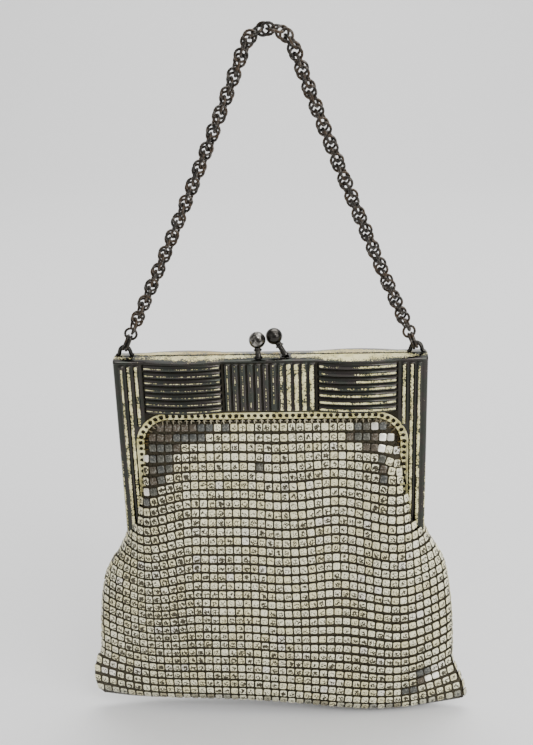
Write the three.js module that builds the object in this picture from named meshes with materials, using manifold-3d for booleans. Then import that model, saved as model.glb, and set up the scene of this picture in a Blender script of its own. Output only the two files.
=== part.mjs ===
// A metal mesh evening purse: a bag of enamelled tiles hung from a stamped, ribbed frame with a kiss lock,
// held up by its chain. Millimetres, +Z up, the front towards -Y.
// The purse is modelled with z = 0 at the top edge of the frame and y = 0 on the parting plane between the
// two halves, and is then moved so that the origin is the underside of the chain at the top of its bend.

import * as THREE from 'three';
import { mergeVertices } from 'three/addons/utils/BufferGeometryUtils.js';
import Module from 'manifold-3d';

const wasm = await Module();
wasm.setup();

// Driving dimensions of the frame
const FRAME_WIDTH = 119.2;
const LEG_LENGTH = 72;
const HALF_DEPTH = 5.6;
const ROOF_RISE = 0.8;
const SHEET = 1;
const GAP = 0.3;
const EDGE_RADIUS = 1.8;

// Pierced rim round the mouth, given by its centreline
const RIM_HALF_WIDTH = 51;
const RIM_TOP = -22.4;
const RIM_CORNER = 11.5;
const RIM_WIDTH = 2;
const RIM_SHEET = 0.8;
const RIM_RECESS = 0.6;
const RIM_OVERLAP = 0.4;
const RIM_HOLES = 60;
const RIM_HOLE_RADIUS = 0.65;
const RIM_HOLE_SIDES = 5;
const CORNER_STEPS = 5;

// Raised ribs, all at nearly one pitch; end is the length over which a rib fades out
const RIB_RISE = 0.85;
const RIB_FADED = 0.1;
const SIDE_PANEL = { inner: 18, outer: 48.4, top: 0, bottom: -20.8, ribTop: -0.6, ribs: 7, bulge: 2.2 };
const CENTRE_PANEL = { half: 17.4, top: -0.6, bottom: -20.6, ribs: 12, end: 0.5 };
const LEG_RIB = { half: 0.8, top: -0.8, sunk: 0.2 };
const LEG_RIBS = [
  { x: 50.45, bottom: -27 },
  { x: 53.45, bottom: -71 },
  { x: 55.9, bottom: -71 },
];

// Hinge at the ends of the legs, and the kiss lock on the roof
const HINGE = { z: -68.5, pin: 1, head: 1.8, headDepth: 0.7, lug: 1, reach: 2.4, top: -65.5, frontX: 53, backX: 54.3 };
const KNOB = { ball: 3, stem: 0.95, shank: 0.9, rivet: 1.35, rivetDepth: 0.8, washer: 1.5, collar: 1.75, disc: 0.6 };
const KNOB_SEAT = 0.6;
const KNOB_SIDES = 8;
const FRONT_KNOB = { base: [-4.1, -2.9], ball: [-4.3, -3, 7.5] };
const BACK_KNOB = { base: [6.2, -2.1], ball: [1.9, 0.5, 7.8] };
const TONGUE = { halfWidth: 2, front: -3.9, top: 0.7, clearance: 0.4 };

// Ears, end links and chain, which hang in one plane just behind the parting plane
const CHAIN_PLANE = 1.1;
const EAR = { x: 55.5, halfWidth: 3.1, crown: 2.5, height: 5.2, thickness: 1.2, eye: 1.45, eyeZ: 2.55 };
const EAR_FOOT = { shank: 3, shankDepth: 1, halfWidth: 2.1, depth: 2.3, thickness: 0.8 };
const LINK = { length: 6.3, halfWidth: 1.5, wire: 0.45, arcSteps: 6, wireSides: 6 };
const CHAIN = { radius: 2.45, sides: 8, steps: 44, bendRadius: 9, clearance: 0.4 };
const CHAIN_APEX = { x: 3.6, z: 132.1 };
const LINK_LEFT = { x: -54.35, z: 5.75 };
const LINK_RIGHT = { x: 54.15, z: 5.1 };

// Mesh bag: each row is one level of the hollow shell. Left and right are the reach of the side folds,
// depth is that of the front and of the back at the middle, square says how square the ends of the section
// are, and close how fast the front and the back come together there.
const BAG_WALL = 1.5;
const BAG_EDGE = 4;
const BAG_LEVELS = [
  { z: -23.9, left: 50.5, right: 50.5, depth: 5.3, square: 14, close: 0.4 },
  { z: -32, left: 51, right: 51, depth: 6.3, square: 14, close: 0.4 },
  { z: -42, left: 52, right: 52, depth: 7.4, square: 14, close: 0.4 },
  { z: -52, left: 53.5, right: 53.5, depth: 8.4, square: 13, close: 0.4 },
  { z: -61, left: 56, right: 56, depth: 9.2, square: 11, close: 0.42 },
  { z: -68, left: 58.6, right: 58.6, depth: 9.8, square: 9, close: 0.44 },
  { z: -74, left: 60.4, right: 60.8, depth: 10.2, square: 7.5, close: 0.46 },
  { z: -81, left: 63.4, right: 64.4, depth: 10.5, square: 6, close: 0.5 },
  { z: -90, left: 68.2, right: 68.1, depth: 10.8, square: 5.4, close: 0.5 },
  { z: -102, left: 71.8, right: 70.4, depth: 10.7, square: 5.2, close: 0.5 },
  { z: -115, left: 74, right: 71.9, depth: 10.1, square: 5, close: 0.5 },
  { z: -127, left: 75, right: 72.6, depth: 9.3, square: 4.5, close: 0.53 },
  { z: -135, left: 76.2, right: 73, depth: 8.7, square: 3.9, close: 0.6 },
  { z: -140, left: 78.8, right: 75, depth: 8.3, square: 3.4, close: 0.7 },
  { z: -145, left: 80.2, right: 77.4, depth: 7.9, square: 2.9, close: 0.82 },
  { z: -149.5, left: 79.8, right: 78.6, depth: 7.2, square: 2.6, close: 0.92 },
  { z: -152.4, left: 78.4, right: 78.6, depth: 5.6, square: 2.4, close: 1 },
  { z: -153.6, left: 76.5, right: 77, depth: 3.2, square: 2.4, close: 1 },
];
// The inside has fewer levels, and stops above the bottom
const BAG_INSIDE_ROWS = [0, 1, 3, 5, 7, 8, 10, 11, 13, 15];
const BAG_OUTSIDE_STEPS = 24;
const BAG_INSIDE_STEPS = 16;
const BAG_FRAME_ROOM = 1.4;

// Drape of the front, seen from the front: each row is one upright fold, forward of the plain form or
// sunk behind it, strongest beside the legs and fading towards the mouth and the bottom
const FOLDS = [
  { x: -47, width: 12, forward: 2.6 },
  { x: -15, width: 20, forward: -1.8 },
  { x: 13, width: 10, forward: 0.7 },
  { x: 27, width: 10, forward: -2.6 },
  { x: 49, width: 12, forward: 3.4 },
];
const FOLD_DEPTHS = { start: 26, full: 62, end: 156 };

// Sag of the cloth: each row lowers it at one place across, or lifts it where down is less than zero. The sag
// grows between two depths under the top edge, start and full, and goes away between fade and end.
const BELOW = 300;
const SAGS = [
  { x: 45, width: 36, down: 5.4, start: 95, full: 150, fade: BELOW, end: 2 * BELOW },
  { x: 76, width: 14, down: -2.4, start: 76, full: 92, fade: 132, end: 156 },
  { x: -78, width: 15, down: -3.4, start: 80, full: 100, fade: 134, end: 158 },
  { x: -60, width: 20, down: 1.2, start: 128, full: 158, fade: BELOW, end: 2 * BELOW },
  { x: 52, width: 12, down: 1.5, start: 25, full: 36, fade: 120, end: 156 },
  { x: -53, width: 9, down: 2.6, start: 30, full: 52, fade: 72, end: 130 },
  { x: -33, width: 7, down: -0.8, start: 40, full: 60, fade: 100, end: 150 },
  { x: 21, width: 9, down: -0.8, start: 34, full: 46, fade: 85, end: 130 },
  { x: 1, width: 8, down: 0.6, start: 25, full: 36, fade: 120, end: 156 },
];

// Finishes
const ivory = { color: 0xd8d2b6, roughness: 0.45, metalness: 0.3 };
const wornIvory = { color: 0x8f8a72, roughness: 0.5, metalness: 0.5 };
const gunmetal = { color: 0x3b3a38, roughness: 0.35, metalness: 0.9 };
const brownSteel = { color: 0x57483a, roughness: 0.45, metalness: 0.8 };

// A solid from three.js geometry
function toSolid(geometry) {
  const bare = geometry.clone();
  bare.deleteAttribute('normal');
  bare.deleteAttribute('uv');
  const merged = mergeVertices(bare, 1e-4);
  return new wasm.Manifold(new wasm.Mesh({
    numProp: 3,
    vertProperties: new Float32Array(merged.attributes.position.array),
    triVerts: new Uint32Array(merged.index.array),
  }));
}

function toGeometry(solid) {
  const mesh = solid.getMesh();
  const geometry = new THREE.BufferGeometry();
  geometry.setAttribute('position', new THREE.BufferAttribute(new Float32Array(mesh.vertProperties), 3));
  geometry.setIndex(new THREE.BufferAttribute(new Uint32Array(mesh.triVerts), 1));
  geometry.computeVertexNormals();
  return geometry;
}

function union(solids) {
  return solids.reduce((whole, next) => whole.add(next));
}

function namedMesh(name, geometry, finish) {
  const mesh = new THREE.Mesh(geometry, new THREE.MeshStandardMaterial(finish));
  mesh.name = name;
  return mesh;
}

// A closed solid from points and triangles, turned inside out if its faces point inwards
function solidFrom(points, triangles) {
  const sixfold = triangles.reduce((sum, [a, b, c]) => sum + points[a].dot(points[b].clone().cross(points[c])), 0);
  const facing = sixfold < 0 ? triangles.map(([a, b, c]) => [a, c, b]) : triangles;
  const geometry = new THREE.BufferGeometry().setFromPoints(points);
  geometry.setIndex(facing.flat());
  return toSolid(geometry);
}

// The faces between rings of equally many points
function ringFaces(ringCount, pointCount, wrap) {
  const triangles = [];
  for (let ring = 0; ring < (wrap ? ringCount : ringCount - 1); ring += 1) {
    const here = ring * pointCount;
    const there = ((ring + 1) % ringCount) * pointCount;
    for (let i = 0; i < pointCount; i += 1) {
      const next = (i + 1) % pointCount;
      triangles.push([here + i, here + next, there + next], [here + i, there + next, there + i]);
    }
  }
  return triangles;
}

// A solid through rings of points, with flat ends that lie across the given axis
function loft(rings, axis) {
  const count = rings[0].length;
  const triangles = ringFaces(rings.length, count, false);
  const [u, v] = { x: ['y', 'z'], z: ['x', 'y'] }[axis];
  const start = rings[0].map((point) => new THREE.Vector2(point[u], point[v]));
  const end = rings.at(-1).map((point) => new THREE.Vector2(point[u], point[v]));
  const last = (rings.length - 1) * count;
  const clockwise = THREE.ShapeUtils.isClockWise(start);
  for (const [a, b, c] of THREE.ShapeUtils.triangulateShape(start, [])) {
    triangles.push(clockwise ? [a, b, c] : [a, c, b]);
  }
  for (const [a, b, c] of THREE.ShapeUtils.triangulateShape(end, [])) {
    triangles.push(clockwise ? [last + a, last + c, last + b] : [last + a, last + b, last + c]);
  }
  return solidFrom(rings.flat(), triangles);
}

function box(x0, x1, y0, y1, z0, z1) {
  const geometry = new THREE.BoxGeometry(x1 - x0, y1 - y0, z1 - z0);
  geometry.translate((x0 + x1) / 2, (y0 + y1) / 2, (z0 + z1) / 2);
  return toSolid(geometry);
}

// A shape drawn in x and z, made a plate between two depths
function plate(shape, yFront, yBack) {
  const settings = { depth: yBack - yFront, bevelEnabled: false, curveSegments: CORNER_STEPS };
  const geometry = new THREE.ExtrudeGeometry(shape, settings);
  geometry.rotateX(Math.PI / 2);
  geometry.translate(0, yBack, 0);
  return toSolid(geometry);
}

function cylinder(start, end, radius, sides) {
  const axis = end.clone().sub(start);
  const turn = new THREE.Quaternion().setFromUnitVectors(new THREE.Vector3(0, 1, 0), axis.clone().normalize());
  const geometry = new THREE.CylinderGeometry(radius, radius, axis.length(), sides);
  geometry.translate(0, axis.length() / 2, 0);
  geometry.applyQuaternion(turn);
  geometry.translate(start.x, start.y, start.z);
  return toSolid(geometry);
}

// Height of the sloping roof at a depth from the parting plane
function roofHeight(y) {
  return ROOF_RISE * (1 - Math.abs(y) / HALF_DEPTH);
}

// Draws the inverted U of the mouth, at a distance outside the rim's centreline, left end to right end
function drawMouth(path, offset, bottom) {
  const side = RIM_HALF_WIDTH + offset;
  const radius = RIM_CORNER + offset;
  const shoulder = RIM_TOP + offset - radius;
  path.moveTo(-side, bottom);
  path.lineTo(-side, shoulder);
  path.absarc(-side + radius, shoulder, radius, Math.PI, Math.PI / 2, true);
  path.lineTo(side - radius, shoulder + radius);
  path.absarc(side - radius, shoulder, radius, Math.PI / 2, 0, true);
  path.lineTo(side, bottom);
}

// A plate shape with the mouth cut out of it from below
function mouthPlateShape(halfWidth, top, bottom, offset) {
  const shape = new THREE.Shape();
  drawMouth(shape, offset, bottom);
  shape.lineTo(halfWidth, bottom);
  shape.lineTo(halfWidth, top);
  shape.lineTo(-halfWidth, top);
  shape.lineTo(-halfWidth, bottom);
  shape.closePath();
  return shape;
}

function rimHole(x, z) {
  const hole = new THREE.Path();
  for (let i = 0; i < RIM_HOLE_SIDES; i += 1) {
    const angle = (2 * Math.PI * i) / RIM_HOLE_SIDES;
    const draw = i === 0 ? 'moveTo' : 'lineTo';
    hole[draw](x + RIM_HOLE_RADIUS * Math.cos(angle), z + RIM_HOLE_RADIUS * Math.sin(angle));
  }
  hole.closePath();
  return hole;
}

// The recessed strip round the mouth, with holes for the rings that carry the bag
function rimStrip() {
  const bottom = -LEG_LENGTH + SHEET;
  const strip = new THREE.Shape();
  drawMouth(strip, RIM_WIDTH / 2 + RIM_OVERLAP, bottom);
  const inner = new THREE.Path();
  drawMouth(inner, -RIM_WIDTH / 2, bottom);
  inner.getPoints(CORNER_STEPS).reverse().forEach((point) => strip.lineTo(point.x, point.y));
  strip.closePath();
  const centreline = new THREE.Path();
  drawMouth(centreline, 0, bottom);
  const halfSteps = centreline.getSpacedPoints(2 * RIM_HOLES);
  for (let hole = 0; hole < RIM_HOLES; hole += 1) {
    const { x, y } = halfSteps[2 * hole + 1];
    strip.holes.push(rimHole(x, y));
  }
  const front = -HALF_DEPTH + RIM_RECESS;
  return plate(strip, front, front + RIM_SHEET);
}

// The profile across a run of ribs: place and rise, at the foot and crest of each side of each rib
function ribProfile(from, to, ribs, rise) {
  const pitch = (to - from) / ribs;
  const corners = [[0.12, 0], [0.36, rise], [0.64, rise], [0.88, 0]];
  const profile = [];
  for (let rib = 0; rib < ribs; rib += 1) {
    corners.forEach(([place, height]) => profile.push([from + (rib + place) * pitch, height]));
  }
  return profile;
}

// A pillowed panel of level ribs, fused to the front of the plate
function sidePanel(side) {
  const { inner, outer, top, bottom, ribTop, ribs, bulge } = SIDE_PANEL;
  const sunk = -HALF_DEPTH + SHEET / 2;
  const stations = [0, 0.05, 0.27, 0.5, 0.73, 0.95, 1];
  const rings = stations.map((along) => {
    const x = side * (inner + (outer - inner) * along);
    const face = -HALF_DEPTH - bulge * 4 * along * (1 - along);
    const rise = along === 0 || along === 1 ? RIB_FADED : RIB_RISE;
    const outline = ribProfile(bottom, ribTop, ribs, rise).map(([z, height]) => [face - height, z]);
    outline.unshift([sunk, bottom], [face, bottom]);
    outline.push([face, top], [sunk, top]);
    return outline.map(([y, z]) => new THREE.Vector3(x, y, z));
  });
  return loft(rings, 'x');
}

// The flat panel of upright ribs between the pillows
function centrePanel() {
  const { half, top, bottom, ribs, end } = CENTRE_PANEL;
  const sunk = -HALF_DEPTH + SHEET / 2;
  const levels = [[bottom, RIB_FADED], [bottom + end, RIB_RISE], [top - end, RIB_RISE], [top, RIB_FADED]];
  const rings = levels.map(([z, rise]) => {
    const outline = ribProfile(-half, half, ribs, rise).map(([x, height]) => [x, -HALF_DEPTH - height]);
    outline.push([half, sunk], [-half, sunk]);
    return outline.map(([x, y]) => new THREE.Vector3(x, y, z));
  });
  return loft(rings, 'z');
}

// One upright rib of a leg
function legRib(x, bottom) {
  const { half, top, sunk } = LEG_RIB;
  const foot = -HALF_DEPTH + sunk;
  const crest = -HALF_DEPTH - RIB_RISE;
  const section = [
    [-half, foot], [-half, -HALF_DEPTH], [-half / 2, crest], [half / 2, crest], [half, -HALF_DEPTH], [half, foot],
  ];
  return loft([bottom, top].map((z) => section.map(([across, y]) => new THREE.Vector3(x + across, y, z))), 'z');
}

// A leg's side flange, with its rounded outer edge
function legFlange(side) {
  const outer = FRAME_WIDTH / 2;
  const lap = outer - EDGE_RADIUS - SHEET;
  const section = [[lap, -HALF_DEPTH + SHEET], [lap, -HALF_DEPTH]];
  for (const degrees of [0, 30, 60, 90]) {
    const angle = THREE.MathUtils.degToRad(degrees);
    const inward = EDGE_RADIUS * (1 - Math.sin(angle));
    section.push([outer - inward, -HALF_DEPTH + EDGE_RADIUS * (1 - Math.cos(angle))]);
  }
  section.push([outer, -GAP / 2], [outer - SHEET, -GAP / 2], [outer - SHEET, -HALF_DEPTH + EDGE_RADIUS]);
  const rings = [-LEG_LENGTH, 0].map((z) => section.map(([x, y]) => new THREE.Vector3(side * x, y, z)));
  return loft(rings, 'z');
}

// The top flange of a half, sloping up to the parting line
function roof() {
  const half = FRAME_WIDTH / 2 - GAP;
  const parting = -GAP / 2;
  const peak = roofHeight(parting);
  const section = [[-HALF_DEPTH, 0], [-HALF_DEPTH, -SHEET], [parting, peak - SHEET], [parting, peak]];
  return loft([-half, half].map((x) => section.map(([y, z]) => new THREE.Vector3(x, y, z))), 'x');
}

// A hinge lug near the end of a leg, reaching over the parting plane, with its pin hole
function hingeLug(x0, x1) {
  const lug = box(x0, x1, -HALF_DEPTH + SHEET / 2, HINGE.reach, -LEG_LENGTH + GAP, HINGE.top);
  const from = new THREE.Vector3(x0 - SHEET, 0, HINGE.z);
  const to = new THREE.Vector3(x1 + SHEET, 0, HINGE.z);
  return lug.subtract(cylinder(from, to, HINGE.pin + GAP, 12));
}

// One half of the frame with its front towards -Y, before the lock and the ears are fitted
function frameHalf(lugX) {
  const face = mouthPlateShape(FRAME_WIDTH / 2 - EDGE_RADIUS, 0, -LEG_LENGTH, RIM_WIDTH / 2);
  const pieces = [plate(face, -HALF_DEPTH, -HALF_DEPTH + SHEET), rimStrip(), roof(), centrePanel()];
  for (const side of [-1, 1]) {
    pieces.push(legFlange(side), sidePanel(side));
    LEG_RIBS.forEach(({ x, bottom }) => pieces.push(legRib(side * x, bottom)));
    const near = Math.min(side * lugX, side * (lugX + HINGE.lug));
    pieces.push(hingeLug(near, near + HINGE.lug));
  }
  return union(pieces);
}

// A hole for a knob's shank, upright through the roof
function shankHole([x, y]) {
  const from = new THREE.Vector3(x, y, -3 * SHEET);
  const to = new THREE.Vector3(x, y, 3 * SHEET);
  return cylinder(from, to, KNOB.shank + GAP, 12);
}

// The front half has a notch in its roof for the tongue of the back half
function frameFront() {
  const { halfWidth, front, clearance } = TONGUE;
  const middle = BACK_KNOB.base[0];
  const half = halfWidth + clearance;
  const notch = box(middle - half, middle + half, front - clearance, SHEET, -3 * SHEET, 3 * SHEET);
  return frameHalf(HINGE.frontX).subtract(shankHole(FRONT_KNOB.base)).subtract(notch);
}

// The back half carries the tongue, and slots for the ears
function frameBack() {
  const { halfWidth, front, top } = TONGUE;
  const middle = BACK_KNOB.base[0];
  const tongue = box(middle - halfWidth, middle + halfWidth, front, SHEET + GAP, top - SHEET, top);
  let half = frameHalf(HINGE.backX).rotate([0, 0, 180]).add(tongue).subtract(shankHole(BACK_KNOB.base));
  const reach = EAR_FOOT.shank / 2 + GAP;
  const slotEnd = CHAIN_PLANE + EAR_FOOT.shankDepth / 2 + GAP;
  for (const x of [-EAR.x, EAR.x]) {
    half = half.subtract(box(x - reach, x + reach, 0, slotEnd, -3 * SHEET, 3 * SHEET));
  }
  return half;
}

// A rivet through the lugs of both halves
function hingePin(side) {
  const { z, pin, head, headDepth, lug, frontX, backX } = HINGE;
  const inner = frontX - GAP;
  const outer = backX + lug + GAP;
  const profile = [
    [0, inner - headDepth], [head, inner - headDepth], [head, inner], [pin, inner],
    [pin, outer], [head, outer], [head, outer + headDepth], [0, outer + headDepth],
  ];
  const geometry = new THREE.LatheGeometry(profile.map(([radius, along]) => new THREE.Vector2(radius, along)), 10);
  geometry.rotateZ((-side * Math.PI) / 2);
  geometry.translate(0, 0, z);
  return toSolid(geometry);
}

// A ball knob: an upright riveted shank, a stem that leans to the ball, and a thin collar under the ball
function ballKnob({ base: [x, y], ball }, roofTop) {
  const under = roofTop - SHEET - KNOB_SEAT;
  const over = roofTop + KNOB_SEAT;
  const upright = (z0, z1, radius) => (
    cylinder(new THREE.Vector3(x, y, z0), new THREE.Vector3(x, y, z1), radius, KNOB_SIDES)
  );
  const foot = new THREE.Vector3(x, y, over + KNOB.disc / 2);
  const centre = new THREE.Vector3(...ball);
  const toward = centre.clone().sub(foot).normalize();
  const collarStart = centre.clone().addScaledVector(toward, -KNOB.ball - KNOB.disc / 2);
  const collarEnd = collarStart.clone().addScaledVector(toward, KNOB.disc);
  const sphere = new THREE.SphereGeometry(KNOB.ball, 12, 7);
  sphere.translate(centre.x, centre.y, centre.z);
  return union([
    upright(under - KNOB.rivetDepth, under, KNOB.rivet),
    upright(under - KNOB.rivetDepth / 2, foot.z, KNOB.shank),
    upright(over, over + KNOB.disc, KNOB.washer),
    cylinder(foot, centre, KNOB.stem, KNOB_SIDES),
    cylinder(collarStart, collarEnd, KNOB.collar, KNOB_SIDES),
    toSolid(sphere),
  ]);
}

// An ear: an arch with an eye, standing on the back flange, held by a shank and a foot under the flange
function chainEar(side) {
  const { x, halfWidth, crown, height, thickness, eye, eyeZ } = EAR;
  const seat = roofHeight(CHAIN_PLANE) + GAP;
  const arch = new THREE.Shape();
  arch.moveTo(-halfWidth, seat);
  arch.lineTo(halfWidth, seat);
  arch.absarc(0, height - crown, crown, 0, Math.PI, false);
  arch.closePath();
  const hole = new THREE.Path();
  hole.absarc(0, eyeZ, eye, 0, 2 * Math.PI, true);
  arch.holes.push(hole);
  const front = CHAIN_PLANE - thickness / 2;
  const { shank, shankDepth, halfWidth: foot, depth, thickness: footThickness } = EAR_FOOT;
  const footFront = CHAIN_PLANE - shankDepth / 2;
  const under = roofHeight(footFront + depth) - SHEET - GAP;
  const ear = union([
    plate(arch, front, front + thickness),
    box(-shank / 2, shank / 2, footFront, footFront + shankDepth, under - footThickness / 2, seat + GAP),
    box(-foot, foot, footFront, footFront + depth, under - footThickness, under),
  ]);
  return ear.translate([side * x, 0, 0]);
}

function middleOf(link) {
  return new THREE.Vector3(link.x, CHAIN_PLANE, link.z);
}

// The way a side of the chain pulls: towards the apex where both sides would meet
function pull(link) {
  return new THREE.Vector3(CHAIN_APEX.x - link.x, 0, CHAIN_APEX.z - link.z).normalize();
}

// A long link through the eye of an ear: round wire swept round a stadium that lies across the ear
function endLink(link) {
  const { length, halfWidth, wire, arcSteps, wireSides } = LINK;
  const along = pull(link);
  const across = new THREE.Vector3(0, 1, 0);
  const normal = along.clone().cross(across);
  const points = [];
  for (const end of [1, -1]) {
    const bend = middleOf(link).addScaledVector(along, end * (length / 2 - halfWidth));
    for (let i = 0; i <= arcSteps; i += 1) {
      const angle = (Math.PI * i) / arcSteps;
      const outward = across.clone().multiplyScalar(end * Math.cos(angle));
      outward.addScaledVector(along, end * Math.sin(angle));
      for (let j = 0; j < wireSides; j += 1) {
        const turn = (2 * Math.PI * j) / wireSides;
        const point = bend.clone().addScaledVector(outward, halfWidth + wire * Math.cos(turn));
        points.push(point.addScaledVector(normal, wire * Math.sin(turn)));
      }
    }
  }
  return solidFrom(points, ringFaces(2 * (arcSteps + 1), wireSides, true));
}

// The way of the chain: straight up from one link, round one bend, and straight down to the other
class HandleCurve extends THREE.Curve {
  constructor() {
    super();
    const apex = new THREE.Vector3(CHAIN_APEX.x, CHAIN_PLANE, CHAIN_APEX.z);
    const pulls = [pull(LINK_LEFT), pull(LINK_RIGHT)];
    const halfAngle = pulls[0].angleTo(pulls[1]) / 2;
    const tangent = CHAIN.bendRadius / Math.tan(halfAngle);
    const clear = LINK.length / 2 + LINK.wire + CHAIN.clearance;
    const start = middleOf(LINK_LEFT).addScaledVector(pulls[0], clear);
    const bendStart = apex.clone().addScaledVector(pulls[0], -tangent);
    const bendEnd = apex.clone().addScaledVector(pulls[1], -tangent);
    const end = middleOf(LINK_RIGHT).addScaledVector(pulls[1], clear);
    const inward = pulls[0].clone().add(pulls[1]).normalize();
    this.bendCentre = apex.clone().addScaledVector(inward, -CHAIN.bendRadius / Math.sin(halfAngle));
    this.left = new THREE.LineCurve3(start, bendStart);
    this.right = new THREE.LineCurve3(bendEnd, end);
    this.spoke = bendStart.clone().sub(this.bendCentre);
    this.sweep = this.spoke.angleTo(bendEnd.clone().sub(this.bendCentre));
    this.leftLength = this.left.getLength();
    this.bendLength = this.sweep * CHAIN.bendRadius;
    this.rightLength = this.right.getLength();
  }

  getPoint(t) {
    const along = t * (this.leftLength + this.bendLength + this.rightLength);
    if (along < this.leftLength) {
      return this.left.getPoint(along / this.leftLength);
    }
    const past = along - this.leftLength;
    if (past < this.bendLength) {
      const turn = (this.sweep * past) / this.bendLength;
      return this.spoke.clone().applyAxisAngle(new THREE.Vector3(0, 1, 0), turn).add(this.bendCentre);
    }
    return this.right.getPoint((past - this.bendLength) / this.rightLength);
  }
}

function chainTube(way) {
  const corners = [];
  for (let i = 0; i < CHAIN.sides; i += 1) {
    const angle = (2 * Math.PI * (i + 0.5)) / CHAIN.sides;
    corners.push(new THREE.Vector2(CHAIN.radius * Math.cos(angle), CHAIN.radius * Math.sin(angle)));
  }
  const settings = { steps: CHAIN.steps, extrudePath: way, bevelEnabled: false };
  return toSolid(new THREE.ExtrudeGeometry(new THREE.Shape(corners), settings));
}

// How far the drape of the front stands forward of the plain form
function drape(x, z) {
  const { start, full, end } = FOLD_DEPTHS;
  const strength = THREE.MathUtils.smoothstep(-z, start, full) * (1 - THREE.MathUtils.smoothstep(-z, full, end));
  return FOLDS.reduce((sum, fold) => {
    const away = (x - fold.x) / fold.width;
    return sum + strength * fold.forward * Math.exp(-away * away);
  }, 0);
}

// How far the cloth hangs below its plain level
function sagging(x, z) {
  const { smoothstep } = THREE.MathUtils;
  return SAGS.reduce((sum, sag) => {
    const away = (x - sag.x) / sag.width;
    const strength = smoothstep(-z, sag.start, sag.full) * (1 - smoothstep(-z, sag.fade, sag.end));
    return sum + strength * sag.down * Math.exp(-away * away);
  }, 0);
}

// One level of the bag, from the left fold along the front to the right fold and along the back again.
// Points stand closer near the folds. The inside leaves the walls standing, and below the legs the edges.
function bagRing(level, steps, inside) {
  const wall = inside ? BAG_WALL : 0;
  const edge = inside ? BAG_EDGE * THREE.MathUtils.smoothstep(-level.z, LEG_LENGTH - 4, LEG_LENGTH + 12) : 0;
  const ring = [];
  for (const face of [-1, 1]) {
    for (let i = 0; i < steps; i += 1) {
      const even = -face * ((2 * i) / steps - 1);
      const across = 0.6 * even + 0.4 * Math.sin((Math.PI * even) / 2);
      const x = across * ((across < 0 ? level.left : level.right) - edge);
      const closing = (1 - Math.abs(across) ** level.square) ** level.close;
      const depth = level.depth - wall + drape(-face * x, level.z);
      ring.push(new THREE.Vector3(x, face * depth * closing, level.z - sagging(x, level.z)));
    }
  }
  return ring;
}

// The bag: a shell open at the mouth and at the sides between the legs, drooping clear of the frame
function meshBag() {
  const outside = loft(BAG_LEVELS.map((level) => bagRing(level, BAG_OUTSIDE_STEPS, false)), 'z');
  const mouth = BAG_LEVELS[0];
  const insideLevels = [{ ...mouth, z: mouth.z + BAG_WALL }, ...BAG_INSIDE_ROWS.map((row) => BAG_LEVELS[row])];
  const inside = loft(insideLevels.map((level) => bagRing(level, BAG_INSIDE_STEPS, true)), 'z');
  const beyond = FRAME_WIDTH / 2 + 10;
  const frameShape = mouthPlateShape(beyond, beyond, -LEG_LENGTH - SHEET, -RIM_WIDTH / 2 - CHAIN.clearance);
  const frameRoom = plate(frameShape, -HALF_DEPTH - BAG_FRAME_ROOM, HALF_DEPTH + BAG_FRAME_ROOM);
  return outside.subtract(inside).subtract(frameRoom);
}

const way = new HandleCurve();
const parts = [
  ['frame_front', frameFront(), wornIvory],
  ['frame_back', frameBack(), wornIvory],
  ['hinge_pin_left', hingePin(-1), gunmetal],
  ['hinge_pin_right', hingePin(1), gunmetal],
  ['clasp_knob_front', ballKnob(FRONT_KNOB, roofHeight(FRONT_KNOB.base[1])), gunmetal],
  ['clasp_knob_back', ballKnob(BACK_KNOB, TONGUE.top), gunmetal],
  ['chain_ear_left', chainEar(-1), gunmetal],
  ['chain_ear_right', chainEar(1), gunmetal],
  ['end_link_left', endLink(LINK_LEFT), brownSteel],
  ['end_link_right', endLink(LINK_RIGHT), brownSteel],
  ['chain', chainTube(way), brownSteel],
  ['mesh_bag', meshBag(), ivory],
];

const purse = new THREE.Group();
const hanging = new THREE.Group();
hanging.position.set(-way.bendCentre.x, -CHAIN_PLANE, -way.bendCentre.z - CHAIN.bendRadius + CHAIN.radius);
parts.forEach(([name, solid, finish]) => hanging.add(namedMesh(name, toGeometry(solid), finish)));
purse.add(hanging);

export default purse;
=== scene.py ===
# %% [markdown]
# # A mesh evening purse
# The purse is a bag of small enamelled metal tiles, hung in a stamped and ribbed metal frame and carried
# by a chain of doubled rings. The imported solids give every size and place. This script dresses them, and
# it starts by loading them, so that each new piece can be built where its solid already is.

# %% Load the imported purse
import math

import bmesh
import bpy
import numpy as np
from mathutils import Matrix, Vector


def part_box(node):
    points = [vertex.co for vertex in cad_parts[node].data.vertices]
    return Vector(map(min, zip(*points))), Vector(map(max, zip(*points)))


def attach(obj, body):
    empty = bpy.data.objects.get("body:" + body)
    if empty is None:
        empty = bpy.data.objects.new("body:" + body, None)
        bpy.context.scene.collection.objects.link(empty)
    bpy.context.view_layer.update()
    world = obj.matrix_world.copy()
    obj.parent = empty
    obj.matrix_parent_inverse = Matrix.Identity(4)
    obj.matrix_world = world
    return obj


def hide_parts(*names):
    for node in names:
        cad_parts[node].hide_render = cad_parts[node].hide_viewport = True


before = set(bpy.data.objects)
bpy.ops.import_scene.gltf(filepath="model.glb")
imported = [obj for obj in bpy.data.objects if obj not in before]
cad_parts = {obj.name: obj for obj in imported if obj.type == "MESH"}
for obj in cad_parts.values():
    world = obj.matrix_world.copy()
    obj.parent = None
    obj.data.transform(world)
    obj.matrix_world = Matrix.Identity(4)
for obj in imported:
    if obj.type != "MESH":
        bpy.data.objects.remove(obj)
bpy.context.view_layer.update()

print("solids:", sorted(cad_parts))

# %% [markdown]
# ## The purse's own ruler
# A purse maker measures from the frame: across it from its middle, back from the plane where its halves meet,
# and up or down from the front edge of its top. The script does the same, in millimetres, and turns such a
# point into Blender's metres only when a mesh is made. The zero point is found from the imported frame.

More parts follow.
